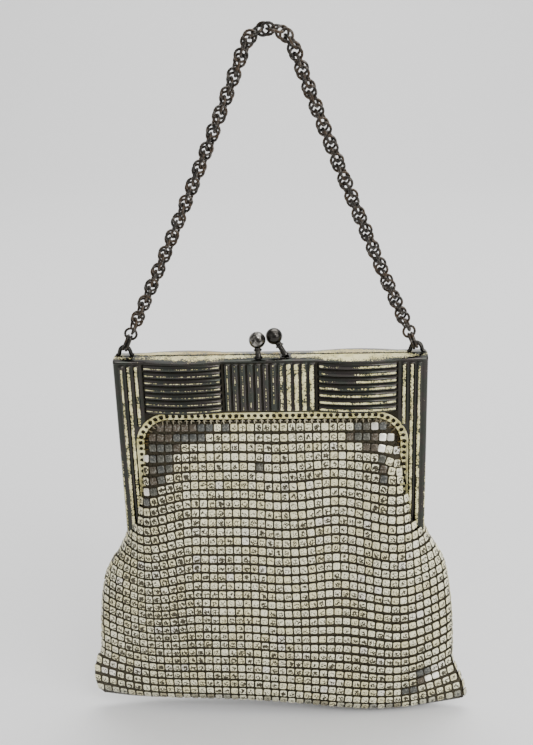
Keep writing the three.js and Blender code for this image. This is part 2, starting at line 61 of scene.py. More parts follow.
# %% Millimetres on the purse, metres in Blender
MM = 0.001
ROOF_TOP = 0.78
CHAIN_PLANE = 1.1
front_low, front_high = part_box("frame_front")
ZERO = np.array([(front_low.x + front_high.x) / 2, -CHAIN_PLANE * MM, front_high.z - ROOF_TOP * MM])
OWN_ORIGIN = np.zeros(3)


def metres(points, zero=ZERO):
    """Points in millimetres on the purse, as Blender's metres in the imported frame."""
    return np.asarray(points, float) * MM + zero


def new_object(name, data):
    made = bpy.data.objects.new(name, data)
    bpy.context.collection.objects.link(made)
    return made


def mesh_piece(name, points, faces=(), edges=(), zero=ZERO):
    """A mesh of points in millimetres. Faces and edges are lists of the numbers of their points."""
    mesh = bpy.data.meshes.new(name)
    mesh.from_pydata(metres(points, zero).tolist(), list(edges), [list(map(int, face)) for face in faces])
    mesh.update()
    return new_object(name, mesh)


def write(piece, label, values):
    """Writes a number or a vector on every point of a mesh, for trees and materials to read."""
    values = np.asarray(values, float)
    kind, field = ("FLOAT", "value") if values.ndim == 1 else ("FLOAT_VECTOR", "vector")
    piece.data.attributes.new(label, kind, "POINT").data.foreach_set(field, values.ravel())


def hand_over(piece, node=None):
    """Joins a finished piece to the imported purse: its body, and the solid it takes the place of."""
    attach(piece, "root")
    if node:
        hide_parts(node)


print("zero point at", [round(float(v) / MM, 2) for v in ZERO], "mm")

# %% [markdown]
# ## Camera
# The photograph looks down on the purse by about twenty degrees, a little from the right. A camera's
# matrix holds its own right, up and backward directions as columns, so they are worked out from the three
# angles and put there. No shift and no depth of field are needed.

# %% Camera
CAMERA_PLACE = (20.87, -371.09, 129.65)
CAMERA_PITCH = math.radians(20.13)
CAMERA_YAW = math.radians(-3.43)
CAMERA_ROLL = math.radians(-1.9)
CAMERA_LENS = 50.0
CAMERA_NEAR = 0.01
ahead = Vector((
    math.sin(CAMERA_YAW) * math.cos(CAMERA_PITCH),
    math.cos(CAMERA_YAW) * math.cos(CAMERA_PITCH),
    -math.sin(CAMERA_PITCH),
))
level_right = Vector((math.cos(CAMERA_YAW), -math.sin(CAMERA_YAW), 0))
level_up = level_right.cross(ahead)
right = math.cos(CAMERA_ROLL) * level_right + math.sin(CAMERA_ROLL) * level_up
camera = new_object("camera", bpy.data.cameras.new("camera"))
camera.data.lens = CAMERA_LENS
camera.data.clip_start = CAMERA_NEAR
turn = Matrix((right, right.cross(ahead), -ahead)).transposed().to_4x4()
camera.matrix_world = Matrix.Translation(Vector(metres(CAMERA_PLACE))) @ turn
bpy.context.scene.camera = camera
print("camera at", [round(v, 4) for v in camera.matrix_world.translation])

# %% [markdown]
# ## Helpers for node trees
# Geometry trees and material trees are both made of nodes and links. One small class adds a node and fills
# its inputs, by a link where the value is another node's socket and by a plain value otherwise. It gives back
# the new node's output, so one node can be written inside another. A geometry tree starts with named inputs,
# so that sizes stay visible on the modifier.

# %% Node helpers
SOCKETS = {float: "Float", int: "Int", "object": "Object", "material": "Material", "geometry": "Geometry"}


class Nodes:
    """A tree being built. Calling it adds one node and gives one output of that node."""

    def __init__(self, tree):
        self.tree = tree

    def __call__(self, kind, wires=None, output=0, **settings):
        node = self.tree.nodes.new(kind)
        for key, value in settings.items():
            setattr(node, key, value)
        self.wire(node, wires or {})
        return node.outputs[output] if node.outputs else None

    def wire(self, node, wires):
        """Fills inputs, by name or number, with a socket, a list of sockets or a plain value."""
        for key, given in wires.items():
            for value in given if isinstance(given, list) else [given]:
                if isinstance(value, bpy.types.NodeSocket):
                    self.tree.links.new(value, node.inputs[key])
                else:
                    node.inputs[key].default_value = value

    def calc(self, operation, first, second, third=0.0):
        return self("ShaderNodeMath", {0: first, 1: second, 2: third}, operation=operation)

    def calc_vector(self, operation, first, second):
        return self("ShaderNodeVectorMath", {0: first, 1: second}, operation=operation)

    def xyz(self, **parts):
        return self("ShaderNodeCombineXYZ", parts)


def start_tree(name, inputs):
    """A geometry tree with one geometry in, one out and the named inputs, and the sockets of those inputs."""
    tree = bpy.data.node_groups.new(name, "GeometryNodeTree")
    for label, kind in {"Geometry": "geometry", **inputs}.items():
        tree.interface.new_socket(label, in_out="INPUT", socket_type="NodeSocket" + SOCKETS[kind])
    tree.interface.new_socket("Geometry", in_out="OUTPUT", socket_type="NodeSocketGeometry")
    return Nodes(tree), tree.nodes.new("NodeGroupInput").outputs


def end_tree(nodes, geometry, material):
    """Every tree ends alike: instances become real faces, which then take the material."""
    real = nodes("GeometryNodeRealizeInstances", {"Geometry": geometry})
    painted = nodes("GeometryNodeSetMaterial", {"Geometry": real, "Material": material})
    nodes("NodeGroupOutput", {"Geometry": painted})
    return nodes.tree


def run_tree(tree, host, name, values):
    """Runs a tree on a host object, keeps the result as a plain mesh and takes the host away."""
    modifier = host.modifiers.new(tree.name, "NODES")
    modifier.node_group = tree
    for item in tree.interface.items_tree:
        if item.in_out == "INPUT" and item.name in values:
            modifier[item.identifier] = values[item.name]
    depsgraph = bpy.context.evaluated_depsgraph_get()
    mesh = bpy.data.meshes.new_from_object(host.evaluated_get(depsgraph), depsgraph=depsgraph)
    bpy.data.objects.remove(host)
    mesh.name = name
    print(name, len(mesh.polygons), "faces")
    return new_object(name, mesh)


# %% [markdown]
# ## Helpers for materials
# All finishes on this purse are metal, bare or enamelled, and differ in a few values that vary over the
# surface. Each material starts with one Principled shader and its Object coordinates, which stay fixed to
# the piece because every piece sits at the origin with its place in its mesh.

# %% Material helpers
class Finish(Nodes):
    """A material being built: noises and painted numbers, wired to one Principled shader."""

    def __init__(self, name, **numbers):
        self.material = bpy.data.materials.new(name)
        self.material.use_nodes = True
        super().__init__(self.material.node_tree)
        self.place = self("ShaderNodeTexCoord", output="Object")
        self.shade(numbers)

    def shade(self, wires):
        """Fills inputs of the shader."""
        self.wire(self.tree.nodes["Principled BSDF"], wires)

    def grain(self, size, detail=2.0, offset=0.0):
        """Noise with spots of about this size in millimetres."""
        moved = self("ShaderNodeMapping", {"Vector": self.place, "Location": (offset, offset, offset)})
        return self("ShaderNodeTexNoise", {"Vector": moved, "Scale": 1 / (size * MM), "Detail": detail})

    def ramp(self, value, low, high):
        """Zero below low, one above high and smooth between. All three may be sockets."""
        wires = {"Value": value, "From Min": low, "From Max": high}
        return self("ShaderNodeMapRange", wires, interpolation_type="SMOOTHSTEP")

    def mix(self, factor, first, second):
        return self("ShaderNodeMix", {0: factor, 6: first, 7: second}, 2, data_type="RGBA")

    def painted(self, name, output="Fac"):
        """A number or vector that the mesh carries."""
        return self("ShaderNodeAttribute", output=output, attribute_name=name)

    def bump(self, height, strength, depth):
        return self("ShaderNodeBump", {"Height": height, "Strength": strength, "Distance": depth * MM})


# %% [markdown]
# ## Stage and light
# The purse hangs just clear of a pale table in front of a pale seamless sweep. One bent sheet makes both,
# wide enough to fill every view. Large soft lights stand above and beside it, as in a small photo studio,
# and one small lamp gives polished metal its bright points.

# %% Sweep and lights
bag_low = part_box("mesh_bag")[0]
FLOOR_GAP = 0.0006
FLOOR = bag_low.z - FLOOR_GAP
SWEEP_HALF = 6.0
SWEEP_FRONT = -6.0
SWEEP_BEND = 1.3
SWEEP_RADIUS = 0.9
SWEEP_TOP = 4.0
SWEEP_STEPS = 12
PAPER = (0.86, 0.86, 0.86, 1)
PALE_PAPER = (0.88, 0.88, 0.88, 1)
ROOM_GREY = (0.8, 0.8, 0.8, 1)
ROOM_STRENGTH = 0.75

profile = [(SWEEP_FRONT, FLOOR), (SWEEP_BEND, FLOOR)]
for step in range(1, SWEEP_STEPS + 1):
    angle = math.radians(90 * step / SWEEP_STEPS)
    rise = SWEEP_RADIUS * (1 - math.cos(angle))
    profile.append((SWEEP_BEND + SWEEP_RADIUS * math.sin(angle), FLOOR + rise))
profile.append((SWEEP_BEND + SWEEP_RADIUS, SWEEP_TOP))
sweep_mesh = bpy.data.meshes.new("studio_sweep")
sweep_mesh.from_pydata(
    [(side * SWEEP_HALF, y, z) for y, z in profile for side in (-1, 1)], [],
    [(2 * i, 2 * i + 1, 2 * i + 3, 2 * i + 2) for i in range(len(profile) - 1)])
sweep_mesh.shade_smooth()
sweep = new_object("studio_sweep", sweep_mesh)
paper = Finish("pale_paper", Roughness=0.85)
paper.shade({"Base Color": paper.mix(paper.grain(4.0), PAPER, PALE_PAPER)})
sweep_mesh.materials.append(paper.material)

PURSE_MIDDLE = (0, 0, (bag_low.z + front_high.z) / 2)
# Place, aim, size in metres and power in watts
LIGHTS = {
    "overhead": ((0.3, 0.15, 1.05), PURSE_MIDDLE, 1.5, 12.0),
    "front_left": ((-1.0, -1.0, 0.55), PURSE_MIDDLE, 1.0, 1.2),
    "front_right": ((1.1, -0.9, 0.45), PURSE_MIDDLE, 1.0, 12.5),
    "window": ((0.4, -0.8, 0.75), PURSE_MIDDLE, 0.2, 1.8),
    "backdrop": ((0, 0.9, 1.5), (0, 2.1, -0.1), 1.6, 26.0),
}
for name, (spot, aim, size, watts) in LIGHTS.items():
    lamp = bpy.data.lights.new(name, "AREA")
    lamp.shape = "SQUARE"
    lamp.size = size
    lamp.energy = watts
    holder = new_object(name, lamp)
    holder.location = spot
    holder.rotation_euler = (Vector(aim) - Vector(spot)).to_track_quat("-Z", "Y").to_euler()
world = bpy.data.worlds.new("soft_room")
world.use_nodes = True
background = world.node_tree.nodes["Background"].inputs
background["Color"].default_value = ROOM_GREY
background["Strength"].default_value = ROOM_STRENGTH
bpy.context.scene.world = world
print("floor at", round(FLOOR / MM, 1), "mm,", len(LIGHTS), "lights")

# %% [markdown]
# ## The shape of the bag
# The cloth hangs from the rim of the frame, leans out over its legs, swells at the sides and ends in two
# soft corners. The solids describe it by levels, one row of sizes for each height, by five upright folds and
# by a few places where it sags, most at the lower right. The same tables are read here, smoothed between
# their rows, because tiles show every kink.

# %% Levels and folds of the bag
# Height, reach to the left and to the right, depth, squareness of the ends, how fast the sheets close there
BAG_LEVELS = np.array([
    (-23.9, 50.5, 50.5, 5.3, 14, 0.4),
    (-32, 51, 51, 6.3, 14, 0.4),
    (-42, 52, 52, 7.4, 14, 0.4),
    (-52, 53.5, 53.5, 8.4, 13, 0.4),
    (-61, 56, 56, 9.2, 11, 0.42),
    (-68, 58.6, 58.6, 9.8, 9, 0.44),
    (-74, 60.4, 60.8, 10.2, 7.5, 0.46),
    (-81, 63.4, 64.4, 10.5, 6, 0.5),
    (-90, 68.2, 68.1, 10.8, 5.4, 0.5),
    (-102, 71.8, 70.4, 10.7, 5.2, 0.5),
    (-115, 74, 71.9, 10.1, 5, 0.5),
    (-127, 75, 72.6, 9.3, 4.5, 0.53),
    (-135, 76.2, 73, 8.7, 3.9, 0.6),
    (-140, 78.8, 75, 8.3, 3.4, 0.7),
    (-145, 80.2, 77.4, 7.9, 2.9, 0.82),
    (-149.5, 79.8, 78.6, 7.2, 2.6, 0.92),
    (-152.4, 78.4, 78.6, 5.6, 2.4, 1),
    (-153.6, 76.5, 77, 3.2, 2.4, 1),
])
# Place across, width, and how far the front comes forward
FOLDS = [(-47, 12, 2.6), (-15, 20, -1.8), (13, 10, 0.7), (27, 10, -2.6), (49, 12, 3.4)]
FOLD_START, FOLD_FULL, FOLD_END = 26, 62, 156
# Place across, width, how far down, and the depths where the sag starts, is full, fades and ends
SAGS = [
    (45, 36, 5.4, 95, 150, 300, 600), (76, 14, -2.4, 76, 92, 132, 156), (-78, 15, -3.4, 80, 100, 134, 158),
    (-60, 20, 1.2, 128, 158, 300, 600), (52, 12, 1.5, 25, 36, 120, 156), (-53, 9, 2.6, 30, 52, 72, 130),
    (-33, 7, -0.8, 40, 60, 100, 150), (21, 9, -0.8, 34, 46, 85, 130), (1, 8, 0.6, 25, 36, 120, 156),
]
BAG_MOUTH, BAG_BASE = BAG_LEVELS[0, 0], BAG_LEVELS[-1, 0]
LEVEL_HEIGHTS, LEVEL_SIZES = BAG_LEVELS[::-1, 0], BAG_LEVELS[::-1, 1:]
LEVEL_SLOPES = np.gradient(LEVEL_SIZES, LEVEL_HEIGHTS, axis=0)


def level_at(height):
    """The table's sizes at a height, on a smooth curve through its rows."""
    row = int(np.clip(np.searchsorted(LEVEL_HEIGHTS, height) - 1, 0, len(LEVEL_HEIGHTS) - 2))
    step = LEVEL_HEIGHTS[row + 1] - LEVEL_HEIGHTS[row]
    s = (height - LEVEL_HEIGHTS[row]) / step
    return ((1 + 2 * s) * (1 - s) ** 2 * LEVEL_SIZES[row] + s * (1 - s) ** 2 * step * LEVEL_SLOPES[row]
            + s * s * (3 - 2 * s) * LEVEL_SIZES[row + 1] + s * s * (s - 1) * step * LEVEL_SLOPES[row + 1])


def smooth(value, low, high):
    """Zero below low, one above high and a soft rise between."""
    t = np.clip((value - low) / (high - low), 0, 1)
    return t * t * (3 - 2 * t)


def hump(x, middle, width):
    """A soft bell, one at its middle."""
    return np.exp(-((x - middle) / width) ** 2)


def drape(x, height):
    """How far the folds bring the cloth forward."""
    strength = smooth(-height, FOLD_START, FOLD_FULL) * (1 - smooth(-height, FOLD_FULL, FOLD_END))
    return strength * sum(forward * hump(x, middle, width) for middle, width, forward in FOLDS)


def sagging(x, height):
    """How far the cloth hangs below its plain level."""
    return sum(down * hump(x, middle, width) * smooth(-height, start, full) * (1 - smooth(-height, fade, end))
               for middle, width, down, start, full, fade, end in SAGS)


def bag_section(height, face, count, inset=0.0):
    """X and Y along one level, from fold to fold. face is -1 for the front, 1 for the back."""
    left, right_reach, depth, square, close = level_at(height)
    across = np.sin(np.linspace(-1, 1, count) * math.pi / 2)
    x = across * (np.where(across < 0, left, right_reach) - inset)
    closing = (1 - np.abs(across) ** square) ** close
    return x, face * (depth - inset + drape(-face * x, height)) * closing


widest = float(LEVEL_SIZES[:, :2].sum(axis=1).max())
print("bag from", BAG_MOUTH, "to", BAG_BASE, "mm, widest", round(widest, 1), "mm")

# %% [markdown]
# ## The mouth in the frame
# The mouth is a square arch with round corners, edged by a narrow pierced rim. Tiles and rings stop at that
# rim, and so does the front sheet of the frame, so a single rule says how far a point lies inside the arch.

# %% Rule for the mouth
RIM_HALF_WIDTH = 51
RIM_TOP = -22.4
RIM_CORNER = 11.5
RIM_WIDTH = 2.6
RIM_DEPTH = 5.0
LEG_LENGTH = 72
OVER_LEFT_LEG, OVER_RIGHT_LEG = 6.9, 7.8
LEG_END_ROOM = 0.8
CORNER_X, CORNER_Z = RIM_HALF_WIDTH - RIM_CORNER, RIM_TOP - RIM_CORNER


def inside_mouth(x, z):
    """Distance in millimetres from the rim's middle line to a point, positive inside the mouth."""
    beside = np.abs(x) - CORNER_X
    above = np.asarray(z) - CORNER_Z
    corner = RIM_CORNER - np.hypot(np.maximum(beside, 0), np.maximum(above, 0))
    return np.where((beside > 0) | (above > 0), corner, RIM_CORNER)


def clear_of_frame(x, y, z, margin):
    """True where cloth shows: inside the mouth, in front of the frame or below its legs."""
    in_mouth = inside_mouth(x, z) > RIM_WIDTH / 2 + margin
    over_leg = np.abs(y) > np.where(x < 0, OVER_LEFT_LEG, OVER_RIGHT_LEG)
    return in_mouth | over_leg | (z < LEG_END_ROOM - LEG_LENGTH - margin)


print("mouth", 2 * RIM_HALF_WIDTH, "mm wide, legs", LEG_LENGTH, "mm long")

# %% [markdown]
# ## Ring cloth behind the tiles
# Behind the tiles lies a dark net of tiny rings, which holds them and shows in the gaps. From outside it
# reads as a thin dark cloth, so it is one sheet: a front and a back laid on the levels just inside the
# tiles, welded at the folds and at the base, and given its thickness by a Solidify modifier.

# %% Ring cloth sheet
CLOTH_INSET = 0.7
CLOTH_STATIONS = 121
CLOTH_STEP = 1.6
CLOTH_THICK = 0.5
CLOTH_TOP_ROOM, CLOTH_BASE_ROOM, CLOTH_MARGIN = 0.8, 0.4, 0.2
RING_STEEL = (0.019, 0.016, 0.01, 1)
PALE_RING_STEEL = (0.068, 0.057, 0.034, 1)
WELD, FINE_WELD = 0.01, 0.001
cloth_rows = int((BAG_MOUTH - BAG_BASE) / CLOTH_STEP)
heights = np.linspace(BAG_MOUTH - CLOTH_TOP_ROOM, BAG_BASE + CLOTH_BASE_ROOM, cloth_rows)


def behind_rim(x, y, z):
    """True where cloth lies behind the rim, where its holes would show it."""
    return inside_mouth(x, z) > -RIM_WIDTH / 2 and abs(y) < RIM_DEPTH


def cloth_sheet():
    """Points and faces of the front and the back, joined along the base."""
    points = []
    faces = []
    for side in (-1, 1):
        first = len(points)
        for height in heights:
            x, y = bag_section(height, side, CLOTH_STATIONS, CLOTH_INSET)
            points.extend(zip(x, y, height - sagging(x, height)))
        for row in range(len(heights) - 1):
            for i in range(CLOTH_STATIONS - 1):
                a = first + row * CLOTH_STATIONS + i
                quad = (a, a + CLOTH_STATIONS, a + CLOTH_STATIONS + 1, a + 1)
                middle = np.mean([points[corner] for corner in quad], axis=0)
                if clear_of_frame(*middle, CLOTH_MARGIN) or behind_rim(*middle):
                    faces.append(quad if side < 0 else quad[::-1])
    last = (len(heights) - 1) * CLOTH_STATIONS
    back = last + len(heights) * CLOTH_STATIONS
    faces.extend((last + i, back + i, back + i + 1, last + i + 1) for i in range(CLOTH_STATIONS - 1))
    return points, faces


def clean(piece, weld=WELD, close=False):
    """Welds doubles, drops loose points, fills open ends where asked and turns every face outwards."""
    work = bmesh.new()
    work.from_mesh(piece.data)
    bmesh.ops.remove_doubles(work, verts=work.verts, dist=weld * MM)
    bmesh.ops.delete(work, geom=[v for v in work.verts if not v.link_faces], context="VERTS")
    if close:
        bmesh.ops.holes_fill(work, edges=[edge for edge in work.edges if edge.is_boundary])
    bmesh.ops.recalc_face_normals(work, faces=work.faces)
    work.to_mesh(piece.data)
    work.free()


def metal_sheet(name, points, faces, thick, finish):
    """A surface that a Solidify modifier makes a sheet of this thickness, inwards."""
    piece = mesh_piece(name, points, faces)
    wall = piece.modifiers.new("thickness", "SOLIDIFY")
    wall.thickness = thick * MM
    wall.offset = -1
    piece.data.materials.append(finish.material)
    return piece


ring_steel = Finish("dark_ring_steel", Metallic=0.75)
shade = ring_steel.grain(1.1)
ring_steel.shade({"Base Color": ring_steel.mix(shade, RING_STEEL, PALE_RING_STEEL),
                  "Roughness": ring_steel.ramp(shade, 1.1, -0.2)})
ring_cloth = metal_sheet("ring_cloth", *cloth_sheet(), CLOTH_THICK, ring_steel)
clean(ring_cloth)
ring_cloth.data.shade_smooth()
print("ring cloth", len(ring_cloth.data.polygons), "faces")

# %% [markdown]
# ## Where each tile goes
# The tiles stand in level rows and upright columns. The rows hang about four millimetres apart, measured down
# the cloth. The columns start close together at the rim and spread a little on the way down, and more of them
# come out from behind the legs as the bag widens. So a row is measured along its level, from the middle to
# both folds, and a tile is put at every step of that way which the frame leaves free. Near the base no more
# columns come out and the last ones spread to the corners. At each fold one or two more close the gap between
# front and back. At the right end of the rim some tiles of the front have come loose and hang inwards.

# %% Tile places
FACES = {"front": -1, "back": 1}
FIRST_ROW = -26.85
ROW_PITCH = 4.01
ROWS = 33
COLUMN_PITCH_TOP, COLUMN_PITCH_BASE = 3.17, 3.45
COLUMN_SHIFT = 0.5
SPREAD_START, SPREAD_REACH = -118, 28
EDGE_ROOM, TOP_ROOM, BASE_ROOM, BASE_REACH = 0.9, 0.65, 0.8, 0.1
FOLD_ROOM = 1e-6
TURN_STEP = 0.7
SECTION_STEPS = 601
HALF_SECTION = SECTION_STEPS // 2
LOOSE_PLACE, LOOSE_HALF_HEIGHT = 50, 5
LOOSE_SHIFT, LOOSE_SHIFT_REACH, LOOSE_SHIFT_HEIGHT = 1.5, 9, -36.5
LOOSE_DROP, LOOSE_DROP_REACH, LOOSE_DROP_HEIGHT = 2.1, 4.6, -39.5
TOP_MARGIN, LEG_MARGIN, UNDER_ROOF = 0.9, -0.1, RIM_TOP - 15


def way_along(points):
    """The way from the first point to each of them, along all those between."""
    steps = np.linalg.norm(np.diff(np.asarray(points), axis=0), axis=1)
    return np.concatenate([[0], np.cumsum(steps)])


def unit(vectors):
    """The same directions with a length of one."""
    return vectors / np.linalg.norm(vectors, axis=-1, keepdims=True)


way_heights = np.linspace(BAG_MOUTH, BAG_BASE, SECTION_STEPS)
way_down = way_along([(height, level_at(height)[2]) for height in way_heights])


def row_height(row):
    """Rows stand one pitch apart along the cloth, so the last ones turn in under the bag."""
    first = np.interp(-FIRST_ROW, -way_heights, way_down)
    return float(np.interp(first + ROW_PITCH * row, way_down, way_heights))


def share_down(height):
    """Zero at the mouth of the bag, one at its base."""
    return (BAG_MOUTH - height) / (BAG_MOUTH - BAG_BASE)


def column_pitch(height):
    return COLUMN_PITCH_TOP + (COLUMN_PITCH_BASE - COLUMN_PITCH_TOP) * share_down(height)


def measured_ring(height, face):
    """One level all the way round the bag, and the way along it counted from the middle of one face."""
    near = np.stack(bag_section(height, face, SECTION_STEPS))
    far = np.stack(bag_section(height, -face, SECTION_STEPS))[:, ::-1]
    ring = np.concatenate([far[:, HALF_SECTION:-1], near, far[:, 1:HALF_SECTION + 1]], axis=1)
    way = way_along(ring.T)
    return ring, way - way[2 * HALF_SECTION]


def fold_ways(height, face):
    """The way from the middle of one face to its left and to its right fold."""
    return measured_ring(height, face)[1][[HALF_SECTION, 3 * HALF_SECTION]]


def loosened(across, height, face):
    """How far the tiles at the right corner of the front have come loose, inwards and down."""
    if face > 0:
        return 0, 0
    inwards = LOOSE_SHIFT * hump(height, LOOSE_SHIFT_HEIGHT, LOOSE_HALF_HEIGHT)
    down = LOOSE_DROP * hump(height, LOOSE_DROP_HEIGHT, LOOSE_HALF_HEIGHT)
    return (inwards * hump(across, LOOSE_PLACE, LOOSE_SHIFT_REACH),
            down * hump(across, LOOSE_PLACE, LOOSE_DROP_REACH))


def cloth_place(height, face, at):
    """The points at some ways along one level, in millimetres on the purse."""
    ring, way = measured_ring(height, face)
    inwards, down = loosened(np.interp(at, way, ring[0]), height, face)
    across, forward = (np.interp(at - inwards, way, line) for line in ring)
    return np.stack([across, forward, height - sagging(across, height) - down], axis=1)


def even_columns(height, face, half_column=0.0):
    """Ways to the columns of one level, and their numbers. Near the base the last ones spread out."""
    pitch = column_pitch(height)
    full_height = max(height, SPREAD_START)
    left, right_end = plain_ends = fold_ways(full_height, face) * pitch / column_pitch(full_height)
    wider = fold_ways(height, face) - plain_ends
    count = int(np.abs(plain_ends).max() / pitch) + 2
    columns = np.arange(-count, count + 1) + COLUMN_SHIFT + half_column
    columns = columns[(columns * pitch > left + EDGE_ROOM) & (columns * pitch < right_end - EDGE_ROOM)]
    at = columns * pitch
    at = at + wider[0] * smooth(-at, -left - SPREAD_REACH, -left)
    at = at + wider[1] * smooth(at, right_end - SPREAD_REACH, right_end)
    return at, np.floor(columns)


def fold_columns(height, face):
    """Ways that fill the gap at each fold between the last tile of the front and the last of the back."""
    pitch = column_pitch(height)
    found = []
    for fold, inward in ((0, 1), (-1, -1)):
        ends = {side: fold_ways(height, side)[fold] for side in (-1, 1)}
        rooms = {side: abs(end - even_columns(height, side)[0][fold]) for side, end in ends.items()}
        gap = rooms[-1] + rooms[1]
        steps = max(round(gap / pitch), 1)
        from_fold = rooms[face] - gap * np.arange(1, steps) / steps
        from_fold = from_fold[from_fold > (0 if face > 0 else -FOLD_ROOM)]
        found.extend(ends[face] + inward * from_fold)
    return np.array(found)


def same_column(at, face, height, other):
    """Ways of the same columns at another height, moved in proportion to the way to the folds."""
    ratio = fold_ways(other, face) / fold_ways(height, face)
    return at * np.where(at < 0, ratio[0], ratio[1])


def tile_grid(face, half_row=0.0, half_column=0.0):
    """Places, directions along, up and out, row and column of one face's tiles, or of the joints between."""
    found = []
    for row in range(-1, ROWS):
        level = row_height(row + half_row)
        if level < BAG_BASE + BASE_ROOM or level > BAG_MOUTH - TOP_ROOM:
            continue
        at, columns = even_columns(level, face, half_column)
        if half_column == 0:
            more = fold_columns(level, face)
            at = np.concatenate([at, more])
            columns = np.concatenate([columns, np.floor(more / column_pitch(level))])
        here, after, before = (cloth_place(level, face, at + step) for step in (0, TURN_STEP, -TURN_STEP))
        along = unit((after - before) * -face)
        reach = min(TURN_STEP, level - BAG_BASE - BASE_REACH)
        above, below = (cloth_place(height, face, same_column(at, face, level, height))
                        for height in (level + reach, level - reach))
        out = unit(np.cross(along, above - below))
        numbers = np.stack([np.full(len(columns), row), columns], axis=1)
        found.append(np.concatenate([here, along, np.cross(out, along), out, numbers], axis=1))
    return np.concatenate(found)


def showing(grid, margin):
    return grid[clear_of_frame(grid[:, 0], grid[:, 1], grid[:, 2], margin)]


# Tiles keep clear of the rim under the roof and lie over its inner edge along the legs
tile_rows = {}
for label, face in FACES.items():
    grid = tile_grid(face)
    tile_rows[label] = showing(grid, np.where(grid[:, 2] > UNDER_ROOF, TOP_MARGIN, LEG_MARGIN))
print("tiles:", {label: len(grid) for label, grid in tile_rows.items()})

# %% [markdown]
# ## Wear of the tiles, and painted shade
# Each tile was dipped in ivory enamel. Handling has chipped it: small dark specks in the middle of nearly
# every tile, more of them in a few patches, and runs of tiles rubbed down to the bare plate in both corners
# under the rim and near the lower right corner. The broad patch of specks on the left side is partly painted
# shade on that side, and the row under the base is darkened like bare plate as painted shade where the bag
# turns under. Runs are given by row and column, patches by place, and the rest is a seeded chance. The back
# gets the specks but no rubbed runs. The material reads all of it from numbers on the tiles.

# %% Wear of each tile, and painted shade on the base row
# Row under the rim, first and last column, counted from the middle
BARE_RUNS = [
    (0, -14, -8), (0, -6, -6), (1, -15, -9), (2, -16, -12), (3, -15, -13), (4, -15, -13), (5, -15, -14),
    (6, -15, -15), (7, -16, -16), (4, -2, -2), (0, 10, 15), (1, 9, 14), (2, 11, 13), (3, 13, 13),
    (4, 13, 13), (5, 13, 13), (27, 17, 18), (28, 17, 17), (29, 15, 16),
]
# Row, first and last column, and the tint of a bare run, from brown at zero to grey at one
BARE_TINTS = [
    (0, -14, -10, 0.1), (0, -9, -8, 0.95), (1, -15, -13, 0.1), (1, -12, -9, 0.9), (27, 17, 18, 0.9),
    (28, 17, 17, 0.05), (29, 15, 16, 0.9),
]
# From this row down the tiles are darkened like bare plate: painted shade where the bag turns under
FIRST_SHADED_ROW = 31
# Row, column and how bright the bare plate still is, which also sets how strong its painted glint is
BRIGHT_TILES = [
    (0, 12, 0.55), (1, 13, 1), (1, 14, 0.5), (2, 13, 1), (28, 18, 1), (28, 19, 0.9), (3, -16, 0.6),
    (6, -16, 0.6),
]
SCRATCHED_TILES = [
    (1, -7), (3, -12), (4, -13), (6, -14), (6, -13), (7, -15), (7, -14), (8, -15), (8, -14), (6, -8),
    (4, 12), (6, 13), (7, 13), (8, 12), (8, 13),
]
# Place across and height, half width and half height, added specks
SPECK_AND_SHADE_PATCHES = [
    (-43, -42, 12, 8, 0.5), (-44, -55, 6, 7, 0.35), (40, -42, 9, 6, 0.4), (-46, -113, 9, 12, 0.55),
    (62, -142, 12, 9, 0.25), (-20, -92, 22, 9, 0.2), (-5, -128, 20, 6, 0.15),
    # The broad patch on the left, at -50 across, is partly specks and partly painted shade on that side
    (-50, -95, 24, 50, 0.4), (0, -135, 60, 16, 0.12), (-55, -85, 11, 7, 0.4),
]
WEAR_SEED = 7
FEWEST_SPECKS, SPECK_RANGE, SPECK_SPREAD = 0.17, 0.7, (1.8, 2.2)
# The second range sets how dark the painted shade on the base row is
PATCH_CHANCE, BASE_SHADE_CHANCE = (0.4, 1), (0.1, 0.8)


def patch_at(x, z, middle, height, half_width, half_height):
    """One in the middle of a flat-topped patch, and zero outside it."""
    return np.exp(-((x - middle) / half_width) ** 4 - ((z - height) / half_height) ** 4)


def tile_wear_and_painted_light(grid, seed, bare_runs, bright_tiles):
    """For each tile: how bare it is with the base row's painted shade, how specked, how bright its plate and
    painted glint, and its tone.
    """
    chance = np.random.RandomState(seed)
    count = len(grid)
    x, z, row, column = grid[:, [0, 2, 12, 13]].T

    def run(run_row, start, end):
        return (row == run_row) & (column >= start) & (column <= end)

    specks_and_side_shade = FEWEST_SPECKS + SPECK_RANGE * chance.beta(*SPECK_SPREAD, count)
    for *patch, more in SPECK_AND_SHADE_PATCHES:
        specks_and_side_shade = specks_and_side_shade + more * patch_at(x, z, *patch) * chance.uniform(*PATCH_CHANCE, count)
    for worn_row, worn_column in SCRATCHED_TILES:
        specks_and_side_shade[run(worn_row, worn_column, worn_column)] = 1
    bare_and_base_shade, bright = np.zeros(count), np.zeros(count)
    for bare_run in bare_runs:
        bare_and_base_shade[run(*bare_run)] = 1
    for bright_row, bright_column, strength in bright_tiles:
        bright[run(bright_row, bright_column, bright_column)] = strength
    tone = chance.uniform(0, 1, count)
    for *tinted_run, tint in BARE_TINTS:
        tone[run(*tinted_run)] = tint
    # Painted shade on the base row, drawn as bare plate
    painted_base_shade = np.where(row >= FIRST_SHADED_ROW, chance.uniform(*BASE_SHADE_CHANCE, count), 0)
    bare_and_base_shade = np.maximum(np.maximum(bare_and_base_shade, bright), painted_base_shade)
    return {"bare_and_base_shade": bare_and_base_shade, "specks_and_side_shade": np.clip(specks_and_side_shade, 0, 1), "bright": bright, "tone": tone}


# %% [markdown]
# ## Tile shape and the tile tree
# A tile is a small plate with round corners and a low dome, stamped from sheet. It has few faces, because
# it stands here more than two thousand times. The tree puts one on every place with its direction, leans
# each a degree or two by a seeded chance so that they catch the light unevenly, and makes them real faces.

